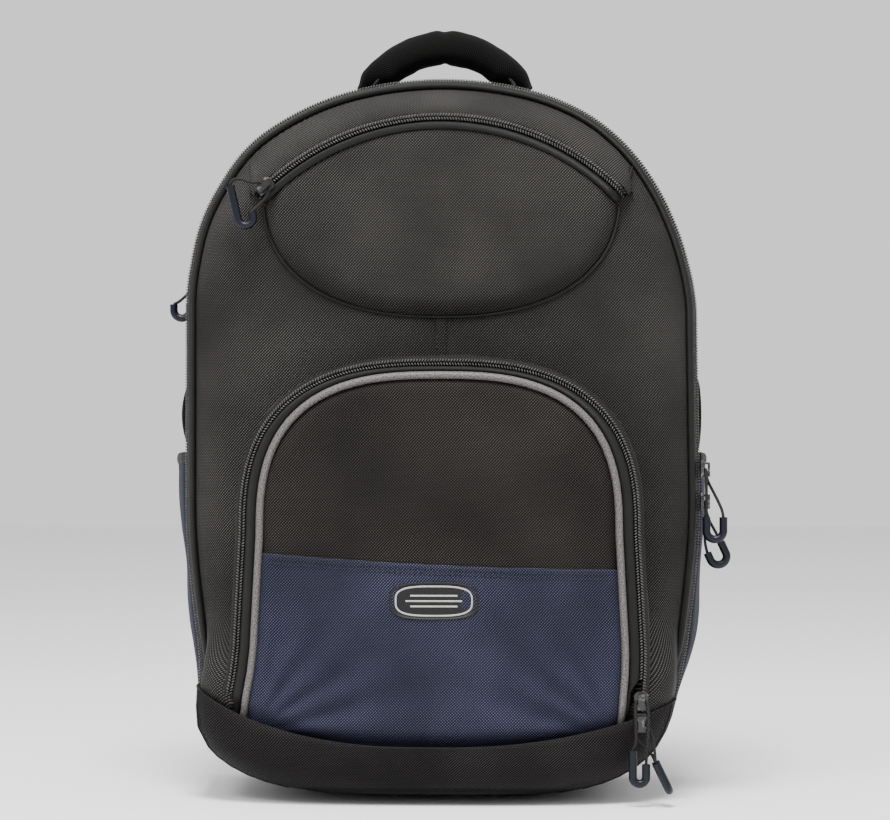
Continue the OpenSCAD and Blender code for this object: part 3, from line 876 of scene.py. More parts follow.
def puffed(piece, pressure=4.0, furthest=2.2, voxel=5.0):
    """The padded piece filled out: a coarse copy is blown up as cloth, and the piece moves as the copy did."""
    copy = link(bpy.data.objects.new("puff_copy", piece.data.copy()))
    even = copy.modifiers.new("even", "REMESH")
    even.mode = "VOXEL"
    even.voxel_size = voxel * MM
    baked(copy)
    start = [v.co.copy() for v in copy.data.vertices]
    cloth = copy.modifiers.new("cloth", "CLOTH")
    cloth.settings.quality = 5
    cloth.settings.use_pressure = True
    cloth.settings.uniform_pressure_force = pressure
    cloth.settings.effector_weights.gravity = 0
    cloth.point_cache.frame_start = 1
    cloth.point_cache.frame_end = PUFF_FRAMES
    scene = bpy.context.scene
    for moment in range(1, PUFF_FRAMES + 1):
        scene.frame_set(moment)
    end = copy.evaluated_get(bpy.context.evaluated_depsgraph_get()).data.vertices
    tree = KDTree(len(start))
    moves = []
    for k, co in enumerate(start):
        move = end[k].co - co
        moves.append(move * min(1, furthest * MM / max(move.length, 1e-9)))
        tree.insert(co, k)
    tree.balance()
    for v in piece.data.vertices:
        near = tree.find_n(v.co, 8)
        weights = [1 / (gap + 0.001) for co, k, gap in near]
        v.co += sum((moves[k] * w for (co, k, gap), w in zip(near, weights)), Vector()) / sum(weights)
    bpy.data.objects.remove(copy)
    scene.frame_set(1)
    return piece


def joined(name, pieces):
    """Several new pieces as one, so that one row of the table stands for them."""
    bpy.ops.object.select_all(action="DESELECT")
    for p in pieces:
        p.select_set(True)
    bpy.context.view_layer.objects.active = pieces[0]
    bpy.ops.object.join()
    pieces[0].name = name
    pieces[0].data.name = name
    return pieces[0]


def ahead_at(places, k):
    """The direction along a row of places at one of them."""
    return (places[min(k + 1, len(places) - 1)] - places[max(k - 1, 0)]).normalized()


def seam_shade_line(name, places, radius, body, join=None):
    """A thin dark tube along a seam: painted shade, standing for the shadow line where two panels are sewn
    together.
    """
    places = [Vector(p) for p in places]
    rows, uv, run = [], [], 0.0
    for k, here in enumerate(places):
        ahead = ahead_at(places, k)
        run += (here - places[k - 1]).length if k else 0
        side = ahead.cross(Vector(FORWARD)).normalized()
        up = side.cross(ahead)
        rows.append([tuple(here + side * radius * math.cos(a) + up * radius * math.sin(a)) for a in turns(6)])
        uv.append([(run, k) for k in range(6)])
    return finished(grid_piece(name, rows, uv, TAPE, wrap=True, caps=True), body, join=join)


# ---------------------------------------------------------------- tub of the bag

GUSSET_WALL = 2.6
WALL_LOW_Z = 42
SIDE_LOW_Z = BOOT_Z + 2
side_line = Line(above(OUTLINE, SIDE_LOW_Z), 5)


def gusset_wave(run, y):
    return 0.9 * ripple(run, y, 34, 3.0, 1.6) * min(1, (y + 31) / 14) * min(1, (BACK_Y - y) / 12)


def make_gussets():
    front = [(-0.8, -30.4), (-0.1, -28), (0.0, -22), (0.4, -12), (0.5, 0), (0.4, 12), (0.0, 24),
             (-0.4, 32), (-1.4, 36)]
    piece = ribbon("gusset_front_fabric", side_line, front, BLACK, wave=gusset_wave)
    finished(thick(piece, GUSSET_WALL, LINING), "bag", ["gusset_front"])

    def rear(k, point):
        start = 46 if point[1] > 240 else 36
        ys = np.linspace(start, 84, 9)
        return [(-0.4 - 3.2 * max(0, (y - 74) / 10) ** 2, y) for y in ys]

    piece = ribbon("gusset_rear_fabric", side_line, rear, BLACK, wave=gusset_wave)
    finished(thick(piece, GUSSET_WALL, LINING), "bag", ["gusset_rear"])
    edge = [(0.4 + 1.5 * math.cos(a), 84.2 + 1.5 * math.sin(a)) for a in turns(8)]
    piping = ribbon("back_edge_piping", side_line, [(o - 2.6, y) for o, y in edge], TAPE, wrap=True)
    finished(piping, "bag")


make_gussets()

main_zip_line = Line(above(OUTLINE, 60), 4)


def hidden_share(z):
    """How far the front wall has closed over the zip beside it: not at all above the side pockets' foot."""
    return smooth_step((112 - z) / 48)


def make_main_zip():
    rear = [(-0.9, ZIP_Y + 0.2), (-0.1, ZIP_Y + 0.7), (0.1, ZIP_Y + 2.2),
            (-0.5, ZIP_Y + 3.4), (-2.2, ZIP_Y + 3.4), (-2.6, ZIP_Y + 0.3)]
    tape = ribbon("main_zip_rear_tape", main_zip_line, rear, TAPE, wrap=True, caps=True)
    finished(tape, "bag", ["main_zip_rear_half"])
    finished(edge_teeth("main_zip_rear_teeth", main_zip_line, -1, ZIP_Y + 0.9), "bag")
    front = [(-1.0, ZIP_Y - 0.2), (-1.3, ZIP_Y - 1.0), (-2.0, ZIP_Y - 2.0),
             (-3.0, ZIP_Y - 3.2), (-4.4, ZIP_Y - 3.2), (-3.0, ZIP_Y - 0.3)]
    tape = ribbon("main_zip_front_tape", main_zip_line, front, TAPE, wrap=True, caps=True)
    finished(tape, "front_panel", ["main_zip_front_half"])
    finished(edge_teeth("main_zip_front_teeth", main_zip_line, 1, ZIP_Y + 0.9), "front_panel")
    welt = []
    for a in np.linspace(-20, 200, 13):
        t = math.radians(a)
        welt.append((-4.4 + 2.5 * math.cos(t), ZIP_Y - 4.2 - 3.3 * math.sin(t)))
    line = Line(above(OUTLINE, WALL_LOW_Z), 4)

    def closing(k, point):
        share = hidden_share(point[1])
        return [(o - 2.0 * share, y + 3.4 * share) for o, y in welt]

    band = ribbon("main_zip_band", line, closing, TAPE)
    finished(thick(band, 0.8), "front_panel")


make_main_zip()


def make_rear_zip():
    line = Line(above(OUTLINE, 240), 4)
    tape = [(-0.9, 36.4), (-0.2, 37.4), (-0.2, 44.6), (-0.9, 45.6), (-2.2, 45.6), (-2.2, 36.4)]
    piece = ribbon("rear_zip_tape", line, tape, TAPE, wrap=True, caps=True)
    finished(piece, "bag", ["rear_zip"])
    for name, hand in (("a", -1), ("b", 1)):
        finished(rear_teeth("rear_zip_teeth_" + name, line, REAR_ZIP_Y, hand), "bag")
    for name, y in (("front", 37.2), ("rear", 44.8)):
        finished(stitches("rear_zip_stitches_" + name, line, 0.0, y, up="out"), "bag")


make_rear_zip()


def face_of_arch(name, inset, depth, material, low_z=SIDE_LOW_Z, steps=26, outward=to_front, pole=370, step=7):
    """A panel that fills the arch. depth gives its y from x, z and the distance in from the edge."""
    line = Line(above(OUTLINE, low_z), step)
    insets = [inset(z) if callable(inset) else inset for x, z in line.points]
    edge = line.moved(-np.array(insets))
    middle = np.stack([edge[:, 0] * 0.0, np.minimum(edge[:, 1], pole)], 1)

    def place(k, t):
        x, z = edge[k] + (middle[k] - edge[k]) * t
        y = depth(x, z, math.dist(edge[k], middle[k]) * t)
        return x, y, z, *cloth_uv(x, y, z)

    return surface(name, range(len(edge)), np.linspace(0, 1, steps) ** 1.35, place, material, outward=outward)


def front_depth(x, z, inset):
    edge_y = ZIP_Y - 5.6
    round_in = crown(inset, 22, 2.3)
    y = edge_y + (WALL_Y + 0.6 - edge_y) * round_in - 1.5 * smooth_step((inset - 10) / 40)
    foot = seam_z(x) + 4
    flare = smooth_step((124 - z) / (124 - foot)) * smooth_step((abs(x) - 116) / 14)
    behind = boot_plan_y(x, z) + 3.2 + 5 * smooth_step((seam_z(x) - z) / 9)
    plan = edge_y + (min(behind, edge_y) - edge_y) * min(1, inset / 2.2)
    y += flare * (min(plan, y) - y)
    wrinkle = 1.6 * ripple(x, z, 46, 1.7, 2.2, 1.2) + 0.8 * ripple(x, z, 22, 5.1, 2.0, -0.9)
    return y + wrinkle * min(1, inset / 30) * (0.5 + 0.5 * smooth_step((200 - z) / 120)) * (1 - 0.7 * flare)


def make_front_wall():
    def inset(z):
        return 7.0 - 6.0 * hidden_share(z)

    piece = face_of_arch("front_wall_fabric", inset, front_depth, CHARCOAL, WALL_LOW_Z, 36, step=4)
    finished(thick(piece, 2.4, LINING), "front_panel", ["front_wall"])


make_front_wall()


def make_back():
    def depth(x, z, inset):
        return BACK_Y - 2.4 + 2.0 * crown(inset, 9, 2) - 0.25 + 0.25 * ripple(x, z, 60, 9.0)

    piece = face_of_arch("back_panel_fabric", 1.0, depth, BLACK, 18, 22, to_back, 300)
    finished(thick(piece, 2.2, LINING), "bag", ["back_panel"])


make_back()


DIVIDER_LOW_Z = 12


def make_divider():
    def front(x, z, inset):
        return 28.4 + 2.4 * (1 - min(inset / 10, 1)) ** 2

    def rear(x, z, inset):
        return 33.6 - 2.4 * (1 - min(inset / 10, 1)) ** 2

    a = face_of_arch("divider_front", 4.5, front, LINING, DIVIDER_LOW_Z, 16, to_front, 300, 9)
    b = face_of_arch("divider_rear", 4.5, rear, LINING, DIVIDER_LOW_Z, 16, to_back, 300, 9)
    line = Line(above(OUTLINE, DIVIDER_LOW_Z), 7)
    hem = [(-4.2 + 1.1 * math.cos(t), 31 + 1.5 * math.sin(t)) for t in turns(8)]
    binding = ribbon("divider_binding", line, hem, WEBBING, wrap=True, caps=True)
    piece = joined("laptop_divider_padding", [a, b, binding])
    finished(piece, "bag", ["laptop_divider"])


make_divider()


# ---------------------------------------------------------------- boot

def boot_ring(z, t, count=72):
    """A turn round the boot at height z, where t is 1 on its upper part and less where it rounds under."""
    w = half_width_at(z)
    ring = []
    for a in np.linspace(0, math.pi, count):
        deep = BOOT_DEPTH * t * abs(math.sin(a)) ** (2 / BOOT_N)
        ring.append((w * rounded(math.cos(a), 2 / BOOT_N), BOOT_SIDE_Y - deep, z))
    rear_y = BACK_Y - 4 - 10 * (1 - t)
    corner = BOOT_CORNER_R
    side = [(w, y, z) for y in np.linspace(BOOT_SIDE_Y, rear_y - corner, 12)[1:]]
    for a in np.linspace(0, math.pi / 2, 5)[1:]:
        side.append((w - corner * (1 - math.cos(a)), rear_y - corner + corner * math.sin(a), z))
    ring += [(-x, y, z) for x, y, z in side]
    ring += [(x, rear_y, z) for x in np.linspace(corner - w, w - corner, 24)[1:-1]]
    return ring + side[::-1]


def boot_lift(y):
    """How far the bottom of the boot rises towards its front."""
    return 0.1286 * max(0, -33 - y)


BOOT_HEIGHTS = (0, 0.5, 2, 5, 9, 14, 20, 27, 34)
BOOT_ROUNDS = (0.60, 0.70, 0.80, 0.875, 0.925, 0.96, 0.985, 1.0, 1.0)
BOOT_JOIN = ("bag", "front_panel", (0, -0.068, 0.036), (0, -0.0788, 0.048))
CORNER_COLUMNS = ((6, "right"), (65, "left"))


def boot_rows():
    """Turns round the boot from the middle of its bottom to its top edge, before its bottom is lifted."""
    rows = [boot_ring(z, t) for z, t in zip(BOOT_HEIGHTS, BOOT_ROUNDS)]
    base = rows[-1]
    for share in (0.34, 0.67, 1.0):
        row = []
        for x, y, z in base:
            top = 42 + (seam_z(x) - 42) * smooth_step((-18 - y) / 16)
            up = z + (top - z) * share
            row.append((x * half_width_at(up) / half_width_at(z), y, up))
        rows.append(row)
    return [[(x * k, y * k, 0.0) for x, y, z in rows[0]] for k in (0.15, 0.5, 0.8)] + rows


def boot_point(x, y, z):
    """A point of the boot with its lift and its ripples, and its place on the cloth."""
    swell = 1.0 * ripple(x, z * 2 + y, 40, 12.0, 2.2) * smooth_step(z / 12) * smooth_step((44 - z) / 20)
    raised = z + boot_lift(y) * max(0, 1 - z / 38)
    steep = abs(x) > half_width_at(max(z, 1)) * 0.97
    return x, y + (swell if y < BOOT_SIDE_Y else 0), raised, y if steep else x, z if z > 2 else y


def make_boot():
    made = [[boot_point(*p) for p in row] for row in boot_rows()]
    piece = surface("boot_fabric", range(len(made)), range(len(made[0])), lambda r, c: made[r][c], BOOT_BLACK,
                    wrap=True, outward=lambda c: Vector((c.x, c.y, 0)))
    finished(thick(piece, 2.2, LINING), "bag", ["base_panel"], join=BOOT_JOIN)
    # Painted shade: a dark tube set just behind the boot's top edge stands for the thin shadow line between
    # the boot and the panel above it.
    top = [(x, y + 1.5 if y < -30 else y, z + 0.1) for x, y, z, u, v in made[-1]]
    seam_shade_line("boot_seam_shade", [p for p in top if p[Y] < -37], 0.7, "bag", join=BOOT_JOIN)
    # Painted shade: thin dark tubes up the boot's corners stand for the shade in the crease of each corner
    # seam.
    for column, name in CORNER_COLUMNS:
        places = [(row[column][0] * 1.002, row[column][1] - 0.15, row[column][2]) for row in made[6:15]]
        seam_shade_line("boot_corner_seam_shade_" + name, places, 0.45, "bag", join=BOOT_JOIN)

    def board(share, c):
        x, y, z = made[3][c][:3]
        x, y = x * 0.86 * share, (y + 8) * 0.92 * share - 8
        return x, y, 3.4 + boot_lift(y), x, y

    piece = surface("base_board_sheet", (0.02, 0.3, 0.6, 0.85, 1.0), range(len(made[3])), board, BOARD,
                    wrap=True, outward=lambda c: Vector((0, 0, 1)))
    finished(thick(piece, 1.6), "bag", ["base_board"])


make_boot()


# ---------------------------------------------------------------- side pockets and bands

def make_side_pocket(side, name):
    """A bottle pocket, which swells between its sewn edges, and the binding round its mouth."""
    low_z, high_z = low("side_pocket_" + name, Z), high("pocket_bindings", Z)
    front_y, rear_y = low("side_pocket_" + name, Y), high("side_pocket_" + name, Y)
    reach = 9.6 if side < 0 else 5.4

    def place(z, t):
        w = half_width_at(z) if z < 190 else HALF_W
        y = front_y + (rear_y - front_y) * t
        arch = (math.sin(math.pi * t) ** 0.55) if 0 < t < 1 else 0
        fold = 1.3 * ripple(y, z, 26, 20.0 + side, 2.4, 1.2) * arch
        droop = -1.4 * math.sin(math.pi * t) if z > high_z - 1 else 0
        waist = 1 - 0.34 * math.exp(-((z - 152) / 26) ** 2)
        if side > 0:
            waist *= 1 + 0.4 * smooth_step((170 - z) / 60)
        rise = smooth_step((z - low_z + 6) / 70)
        return side * (w + 1.5 + (reach * waist * arch + fold) * rise), y, z + droop, y, z

    heights, shares = np.linspace(41, high_z, 40), np.linspace(0, 1, 36)
    piece = surface("side_pocket_" + name + "_fabric", heights, shares, place, NAVY,
                    outward=lambda c: Vector((side, 0, 0)))
    finished(thick(piece, 1.6, LINING), "bag", ["side_pocket_" + name])
    top = [place(high_z, t)[:3] for t in shares]
    run = run_along(top)

    def hem(k, a):
        x, y, z = top[k]
        x += side * 1.6 * (math.cos(a) - 0.5)
        return x, y, z - 3.4 + 3.9 * math.sin(a), run[k], a * 1.8 * 6 / math.pi

    return surface("side_pocket_binding_" + name, range(len(top)), turns(12), hem, WEBBING,
                   wrap=True, caps=True)


bindings = [make_side_pocket(-1, "left"), make_side_pocket(1, "right")]
finished(joined("side_pocket_bindings", bindings), "bag", ["pocket_bindings"])


WEBBING_HALF_W = 12.5


def strap_strip(name, centres, across, out, half_width, thickness):
    """A flat strip of webbing along its middle line, with rounded edges."""
    rows, uv, run = [], [], 0.0
    across, centres = Vector(across), [Vector(c) for c in centres]
    w, h = half_width, thickness / 2
    edge, high_h = w - h * 0.6, h * 0.8
    section = [(-w, 0), (-edge, high_h), (-w * 0.5, h), (0, h), (w * 0.5, h), (edge, high_h),
               (w, 0), (edge, -high_h), (0, -h), (-edge, -high_h)]
    for k, c in enumerate(centres):
        if k:
            run += (c - centres[k - 1]).length
        up = across.cross(ahead_at(centres, k)).normalized()
        if up.dot(Vector(out)) < 0:
            up = -up
        rows.append([tuple(c + across * a + up * b) for a, b in section])
        uv.append([(run, a + w + (30 if b < 0 else 0)) for a, b in section])
    return grid_piece(name, rows, uv, WEBBING, wrap=True, caps=True, leans=False)


def make_side_bands():
    strips = []
    low_z, high_z = low("side_bands", Z), high("side_bands", Z)
    for side, name in ((-1, "left"), (1, "right")):
        centres = []
        for t in np.linspace(0, 1, 14):
            z = low_z + (high_z - low_z) * t
            bulge = (6.6 if side < 0 else 2.0) * math.sin(math.pi * t) ** 0.6
            centres.append((side * (HALF_W + 1.2 + bulge), 20.5, z))
        strips.append(strap_strip("side_band_" + name, centres, (0, 1, 0), (side, 0, 0), WEBBING_HALF_W, 2))
    finished(joined("side_band_webbing", strips), "bag", ["side_bands"])


make_side_bands()


# ---------------------------------------------------------------- top pocket

TOP_HALF_A = math.radians(46.8)
LENS_R = TOP_ARC_R - 3.9
LENS_N = 2.35
LENS_HALF_A = math.radians(44)
LENS_Z = TOP_ARC_Z + LENS_R * math.cos(LENS_HALF_A)
LENS_HALF_W = LENS_R * math.sin(LENS_HALF_A) + 3
SEAM_LOW_Z = low("top_pocket_face", Z)


def arc_line(radius, half_angle, step=4):
    angles = np.linspace(-half_angle, half_angle, 60)
    return Line([(radius * math.sin(a), TOP_ARC_Z + radius * math.cos(a)) for a in angles], step)


top_zip_line = arc_line(TOP_ARC_R, TOP_HALF_A)
LIP_JOIN = ("front_panel", "top_lip", (0, -0.06, (LIP_Z - 6) * MM), (0, -0.06, (LIP_Z + 3) * MM))


def lens_low_z(x):
    share = min(abs(x) / LENS_HALF_W, 1)
    return LENS_Z - (LENS_Z - SEAM_LOW_Z) * (1 - share ** LENS_N) ** (1 / LENS_N)


def lens_high_z(x, radius):
    return TOP_ARC_Z + math.sqrt(max(radius ** 2 - x * x, 0))


def make_top_pocket():
    def place(s, t):
        x = s * (LENS_HALF_W - 0.35)
        z_high = lens_high_z(x, TOP_ARC_R - 8.4)
        z_low = min(lens_low_z(x), z_high - 0.4)
        z = z_low + (z_high - z_low) * t
        deep = min(max((LENS_Z - z) / (LENS_Z - SEAM_LOW_Z), 0), 1)
        aside = LENS_HALF_W * (1 - deep ** LENS_N) ** (1 / LENS_N) - abs(x)
        from_seam = (z - z_low) * max(aside, 0) / max(math.hypot(z - z_low, aside), 0.001)
        from_zip = z_high - z
        y = WALL_Y + 0.6 + (TOP_FACE_Y - WALL_Y) * crown(from_seam, 16, 2.6)
        y -= 1.9 * smooth_step(from_seam / 55) * smooth_step(from_zip / 45)
        y += 0.7 * (1 - smooth_step(from_zip / 5))
        y += 0.9 * ripple(x, z, 38, 30.0, 2.0, 0.5) * min(1, from_seam / 20)
        return x, y, z, *cloth_uv(x, y, z)

    along = (1 - np.cos(np.linspace(0, math.pi, 44))) / 2
    piece = surface("top_pocket_fabric", eased(72), along, place, CHARCOAL, outward=to_front)
    finished(thick(piece, 1.8, LINING), "front_panel", ["top_pocket_face", "top_pocket_lip"], join=LIP_JOIN)


make_top_pocket()


def make_top_zip():
    band = []
    for a in np.linspace(-10, 195, 11):
        t = math.radians(a)
        band.append((-5.4 + 2.7 * math.cos(t), TOP_FACE_Y + 1.4 - 2.3 * math.sin(t)))
    piece = ribbon("top_zip_band", top_zip_line, band, TAPE, outward=to_front, tucks=True)
    finished(thick(piece, 0.7), "front_panel", ["top_zip_lower_half"], join=LIP_JOIN)
    row = front_teeth("top_zip_lower_teeth", top_zip_line, 0, TOP_FACE_Y - 0.4, -1)
    finished(row, "front_panel", join=LIP_JOIN)
    tape = [(-0.1, -60.0), (0.5, -60.4), (2.4, -60.4), (3.6, -59.2), (4.6, -56), (4.6, -51)]
    piece = ribbon("top_zip_upper_tape", top_zip_line, tape, TAPE, outward=to_front, tucks=True)
    finished(thick(piece, 0.8), "front_panel", ["top_zip_upper_half"])
    finished(front_teeth("top_zip_upper_teeth", top_zip_line, 0, TOP_FACE_Y - 0.4, 1), "front_panel")


make_top_zip()


YOKE_Y = -60.2
YOKE_END_A = 46.6
YOKE_SLANT = 3.4


def make_yoke():
    """The strip between the main zip and the top pocket's zip. Its ends slant from one to the other."""
    outer = Line(above(OUTLINE, 380), 3).moved(-7.6)
    radii = np.linalg.norm(outer - np.array([0, TOP_ARC_Z]), axis=1)
    angles = np.degrees(np.arctan2(outer[:, 0], outer[:, 1] - TOP_ARC_Z))
    near = TOP_ARC_R + 2.6

    def place(end, s):
        a = end * (YOKE_END_A - YOKE_SLANT * s)
        r = near + (float(np.interp(a, angles, radii)) - near) * s
        across, up = math.sin(math.radians(a)), math.cos(math.radians(a))
        x, z = r * across, TOP_ARC_Z + r * up
        y = YOKE_Y + (ZIP_Y - 7.0 - YOKE_Y) * s ** 1.3 - 2.2 * math.sin(math.pi * s)
        y += 7 * smooth_step((abs(end) - 0.965) / 0.035) + 0.6 * ripple(x, z, 30, 40.0, 2)
        flat = r + 0.9 * (y - YOKE_Y)
        return x, y, z, flat * across, flat * up

    along = (1 - np.cos(np.linspace(0, math.pi, 18))) / 2
    piece = surface("top_yoke_fabric", eased(90), along, place, CHARCOAL, outward=to_front)
    finished(thick(piece, 1.4), "front_panel", ["top_yoke"])


make_yoke()


# Painted shade: a dark tube just under the top pocket's lower edge stands for the shadow line in its seam.
def make_lens_seam_shade():
    places = []
    for a in np.linspace(-math.pi / 2, math.pi / 2, 90):
        x = (LENS_HALF_W - 0.2) * math.sin(a)
        places.append((x, WALL_Y - 1.9, lens_low_z(x) - 0.3))
    seam_shade_line("top_pocket_seam_shade", places, 0.95, "front_panel")


make_lens_seam_shade()


def make_yoke_end_seam_shades():
    """Painted shade: dark tubes along the short seams that run from the points of the top pocket up to the
    main zip, standing for the shadow in them.
    """
    for side, name in ((-1, "left"), (1, "right")):
        places = []
        for t in np.linspace(0, 1, 14):
            x, z = side * (119.5 + 5 * t), LENS_Z - 2 + 20 * t
            inset = min(math.dist((x, z), p) for p in OUTLINE) - 7
            places.append((x, front_depth(x, z, max(inset, 0)) - 2.6, z))
        seam_shade_line("yoke_end_seam_shade_" + name, places, 0.9, "front_panel")


make_yoke_end_seam_shades()


def make_centre_seam():
    """The seam between the top pocket and the front pocket, with a row of stitches each side."""
    top, foot = SEAM_LOW_Z + 1, POCKET_ARCH_Z + POCKET_ARCH_H + 10
    pieces = []
    for name, x in (("a", -2.6), ("b", 2.6)):
        pieces.append(stitches("centre_seam_" + name, Line([(x, foot), (x, top)], 2), 0, WALL_Y - 1.35))

    def fold(z, x):
        return x, WALL_Y - 1.0 - 0.5 * (1 - (x / 3.6) ** 2) * (abs(x) > 0.3), z

    heights, across = np.linspace(foot, top, 12), (-3.6, -2.6, -1.6, -0.6, 0, 0.6, 1.6, 2.6, 3.6)
    pieces.append(surface("centre_seam_fold", heights, across, fold, CHARCOAL, outward=to_front))
    finished(joined("centre_seam", pieces[::-1]), "front_panel")


make_centre_seam()


# ---------------------------------------------------------------- front pocket

POCKET_FOOT_Z = 46
TEETH_Y = -84.1
pocket_line = Line(above(POCKET, POCKET_FOOT_Z), 4)
chain_line = Line(above(POCKET, POCKET_FOOT_Z), 3)


def chain_out(line):
    """Distance from the piping to the zip: more at the sides, where the zip's tape lies flatter."""
    return 8.3 + 3.4 * np.abs(line.out[:, 0]) ** 1.5


def make_front_pocket_zip():
    reach = chain_out(chain_line)

    def shifted(pairs):
        return lambda k, point: [(o + reach[k], y) for o, y in pairs]

    side = [(0.2, -82.6), (1.0, -83.6), (3.0, -83.4), (4.3, -81.2),
            (4.6, -76), (4.4, -66), (4.2, -56), (4.6, -50.5)]
    piece = ribbon("front_pocket_side_fabric", chain_line, shifted(side), BLACK,
                   wave=lambda run, y: 0.5 * ripple(run, y, 24, 50.0) * (1 if y > -80 else 0), tucks=True)
    finished(thick(piece, 1.6, LINING), "front_panel", ["front_pocket_gusset"])
    tape = [(0.1, -83.4), (0.4, -84.0), (2.4, -84.2), (3.2, -83.6)]
    piece = ribbon("front_pocket_outer_tape", chain_line, shifted(tape), TAPE, outward=to_front, tucks=True)
    finished(thick(piece, 0.7), "front_panel", ["pocket_zip_outer_half"])
    finished(front_teeth("front_pocket_outer_teeth", chain_line, reach, TEETH_Y, 1), "front_panel")

    closed = Line([p for p in chain_line.points if p[0] < 0 or p[1] > 76], 3)
    inner = front_teeth("front_pocket_inner_teeth", closed, chain_out(closed), TEETH_Y, -1)
    finished(inner, "pocket_flap")

    def band(k, point):
        beside_sliders = smooth_step((80 - point[1]) / 8) if point[0] > 0 else 0
        outer, inner_edge = reach[k] - 2.4 - 4.2 * beside_sliders, 2.0
        pairs = []
        for a in np.linspace(0, math.pi, 11):
            t = (1 + math.cos(a)) / 2
            pairs.append((inner_edge + (outer - inner_edge) * t, -83.6 - 3.0 * math.sin(a) ** 0.8))
        return pairs

    piece = ribbon("front_pocket_band", chain_line, band, TAPE, outward=to_front, tucks=True)
    finished(thick(piece, 0.8), "pocket_flap", ["pocket_zip_inner_half"])
    bead = []
    for a in np.linspace(-0.15, math.pi + 0.15, 11):
        bead.append((2.5 * math.cos(a), POCKET_FACE_Y + 3.0 - 3.4 * math.sin(a)))
    piece = ribbon("reflective_piping_tape", pocket_line, bead, REFLECTIVE, outward=to_front, tucks=True)
    finished(thick(piece, 0.8), "pocket_flap", ["reflective_piping"])


make_front_pocket_zip()


def split_z(x):
    """Height of the seam between the flap's two panels: lower on the right."""
    return 156.0 - 0.046 * x - 2.2 * (1 - (x / POCKET_HALF_W) ** 2)


FLAP_IN = 2.2


def flap_half_width(z):
    return width_of(pocket_half(), z) - FLAP_IN


def flap_depth(x, z, inset):
    y = POCKET_FACE_Y + 3.4 - 4.6 * crown(inset, 9, 2.4) - 2.2 * smooth_step(inset / 70)
    corner = Vector((math.copysign(POCKET_HALF_W, x), 45))
    away = (Vector((x, z)) - corner).length
    turn = math.atan2(z - corner.y, x - corner.x)
    bend = 2.2 * noise.noise(Vector((x / 60, z / 60, 61)))
    fan = math.sin(turn * 17 + bend) * smooth_step((150 - away) / 110)
    y -= 1.5 * fan * smooth_step(inset / 16) * (1.1 if z < 156 else 0.35) * smooth_step(away / 35)
    upright = ripple(z, x, 30, 66.0, 3.0) * smooth_step((z - 150) / 20) * smooth_step((250 - z) / 60)
    return y + 1.3 * upright + 1.1 * ripple(x, z, 34, 60.0, 2.2, 0.9 if x > 0 else -0.9) * min(1, inset / 14)


FLAP_HALF_W = POCKET_HALF_W - FLAP_IN
FLAP_ARCH_H = POCKET_ARCH_H - FLAP_IN


def flap_top_z(x):
    share = min(abs(x) / FLAP_HALF_W, 1)
    return POCKET_ARCH_Z + FLAP_ARCH_H * (1 - share ** POCKET_N) ** (1 / POCKET_N)


def upper_flap(s, t):
    """A point of the flap's black panel, from its seam up to its arch."""
    x = s * FLAP_HALF_W
    foot, top = split_z(x) - 3, flap_top_z(x)
    z = foot + (top - foot) * t
    share = min(max((z - POCKET_ARCH_Z) / FLAP_ARCH_H, 0), 1)
    aside = FLAP_HALF_W * (1 - share ** POCKET_N) ** (1 / POCKET_N) - abs(x)
    up = top - z
    inset = max(up, 0) * max(aside, 0) / max(math.hypot(up, aside), 0.001)
    return x, flap_depth(x, z, inset) + 0.5, z


def lower_flap(t, s):
    """A point of the flap's navy panel, from behind the boot up to its seam, where it is folded over."""
    w = flap_half_width(60 + (split_z(0) - 60) * t)
    x = s * w
    foot_z = seam_z(x) - 3.5
    z = foot_z + (split_z(x) - foot_z) * t
    return x, flap_depth(x, z, min(w - abs(x), 60)) - (1.2 if t > 0.985 else 0.7), z


def make_flap():
    along = 1 - (1 - np.linspace(0, 1, 44)) ** 1.5
    piece = surface("pocket_flap_upper_fabric", eased(90), along, upper_flap, BLACK, outward=to_front)
    finished(thick(piece, 1.8, LINING), "pocket_flap", ["pocket_panel_black"])
    piece = surface("pocket_flap_navy_fabric", np.linspace(0, 1, 52), eased(90), lower_flap, NAVY,
                    outward=to_front, tucks=True)
    finished(thick(piece, 1.8, LINING), "pocket_flap", ["pocket_panel_navy"])
    seam = []
    for x in np.linspace(-POCKET_HALF_W + 6, POCKET_HALF_W - 6, 60):
        inset = min(flap_half_width(150) - abs(x), 60)
        seam.append((x, flap_depth(x, split_z(x) - 3, inset) - 1.2, split_z(x) - 2.6))
    for name, drop in (("upper", 0.0), ("lower", 3.0)):
        path = np.array(seam) - np.array([0, 0, drop])
        run = run_along(path)
        places = at_marks(np.arange(1.6, run[-1], 3.2), run, path)
        ahead = np.tile([1.0, 0, 0], (len(places), 1))
        up = np.tile(FORWARD, (len(places), 1))
        row = beads("flap_topstitch_" + name, places, ahead, np.cross(ahead, up), up, (1.25, 0.3, 0.3), THREAD)
        finished(row, "pocket_flap")


make_flap()


BADGE_X, BADGE_Z = -3, 131
BADGE_Y = POCKET_FACE_Y - 4.6
BADGE_LAYERS = ((1.0, 2.6), (1.0, 0.6), (0.985, 0.0), (0.95, -0.1),
                (0.93, 0.5), (0.6, 0.4), (0.3, 0.35), (0.0, 0.3))


def lozenge(a):
    """A point of the badge's outline, from its middle."""
    return 29 * rounded(math.cos(a), 0.62), 12 * rounded(math.sin(a), 0.62)


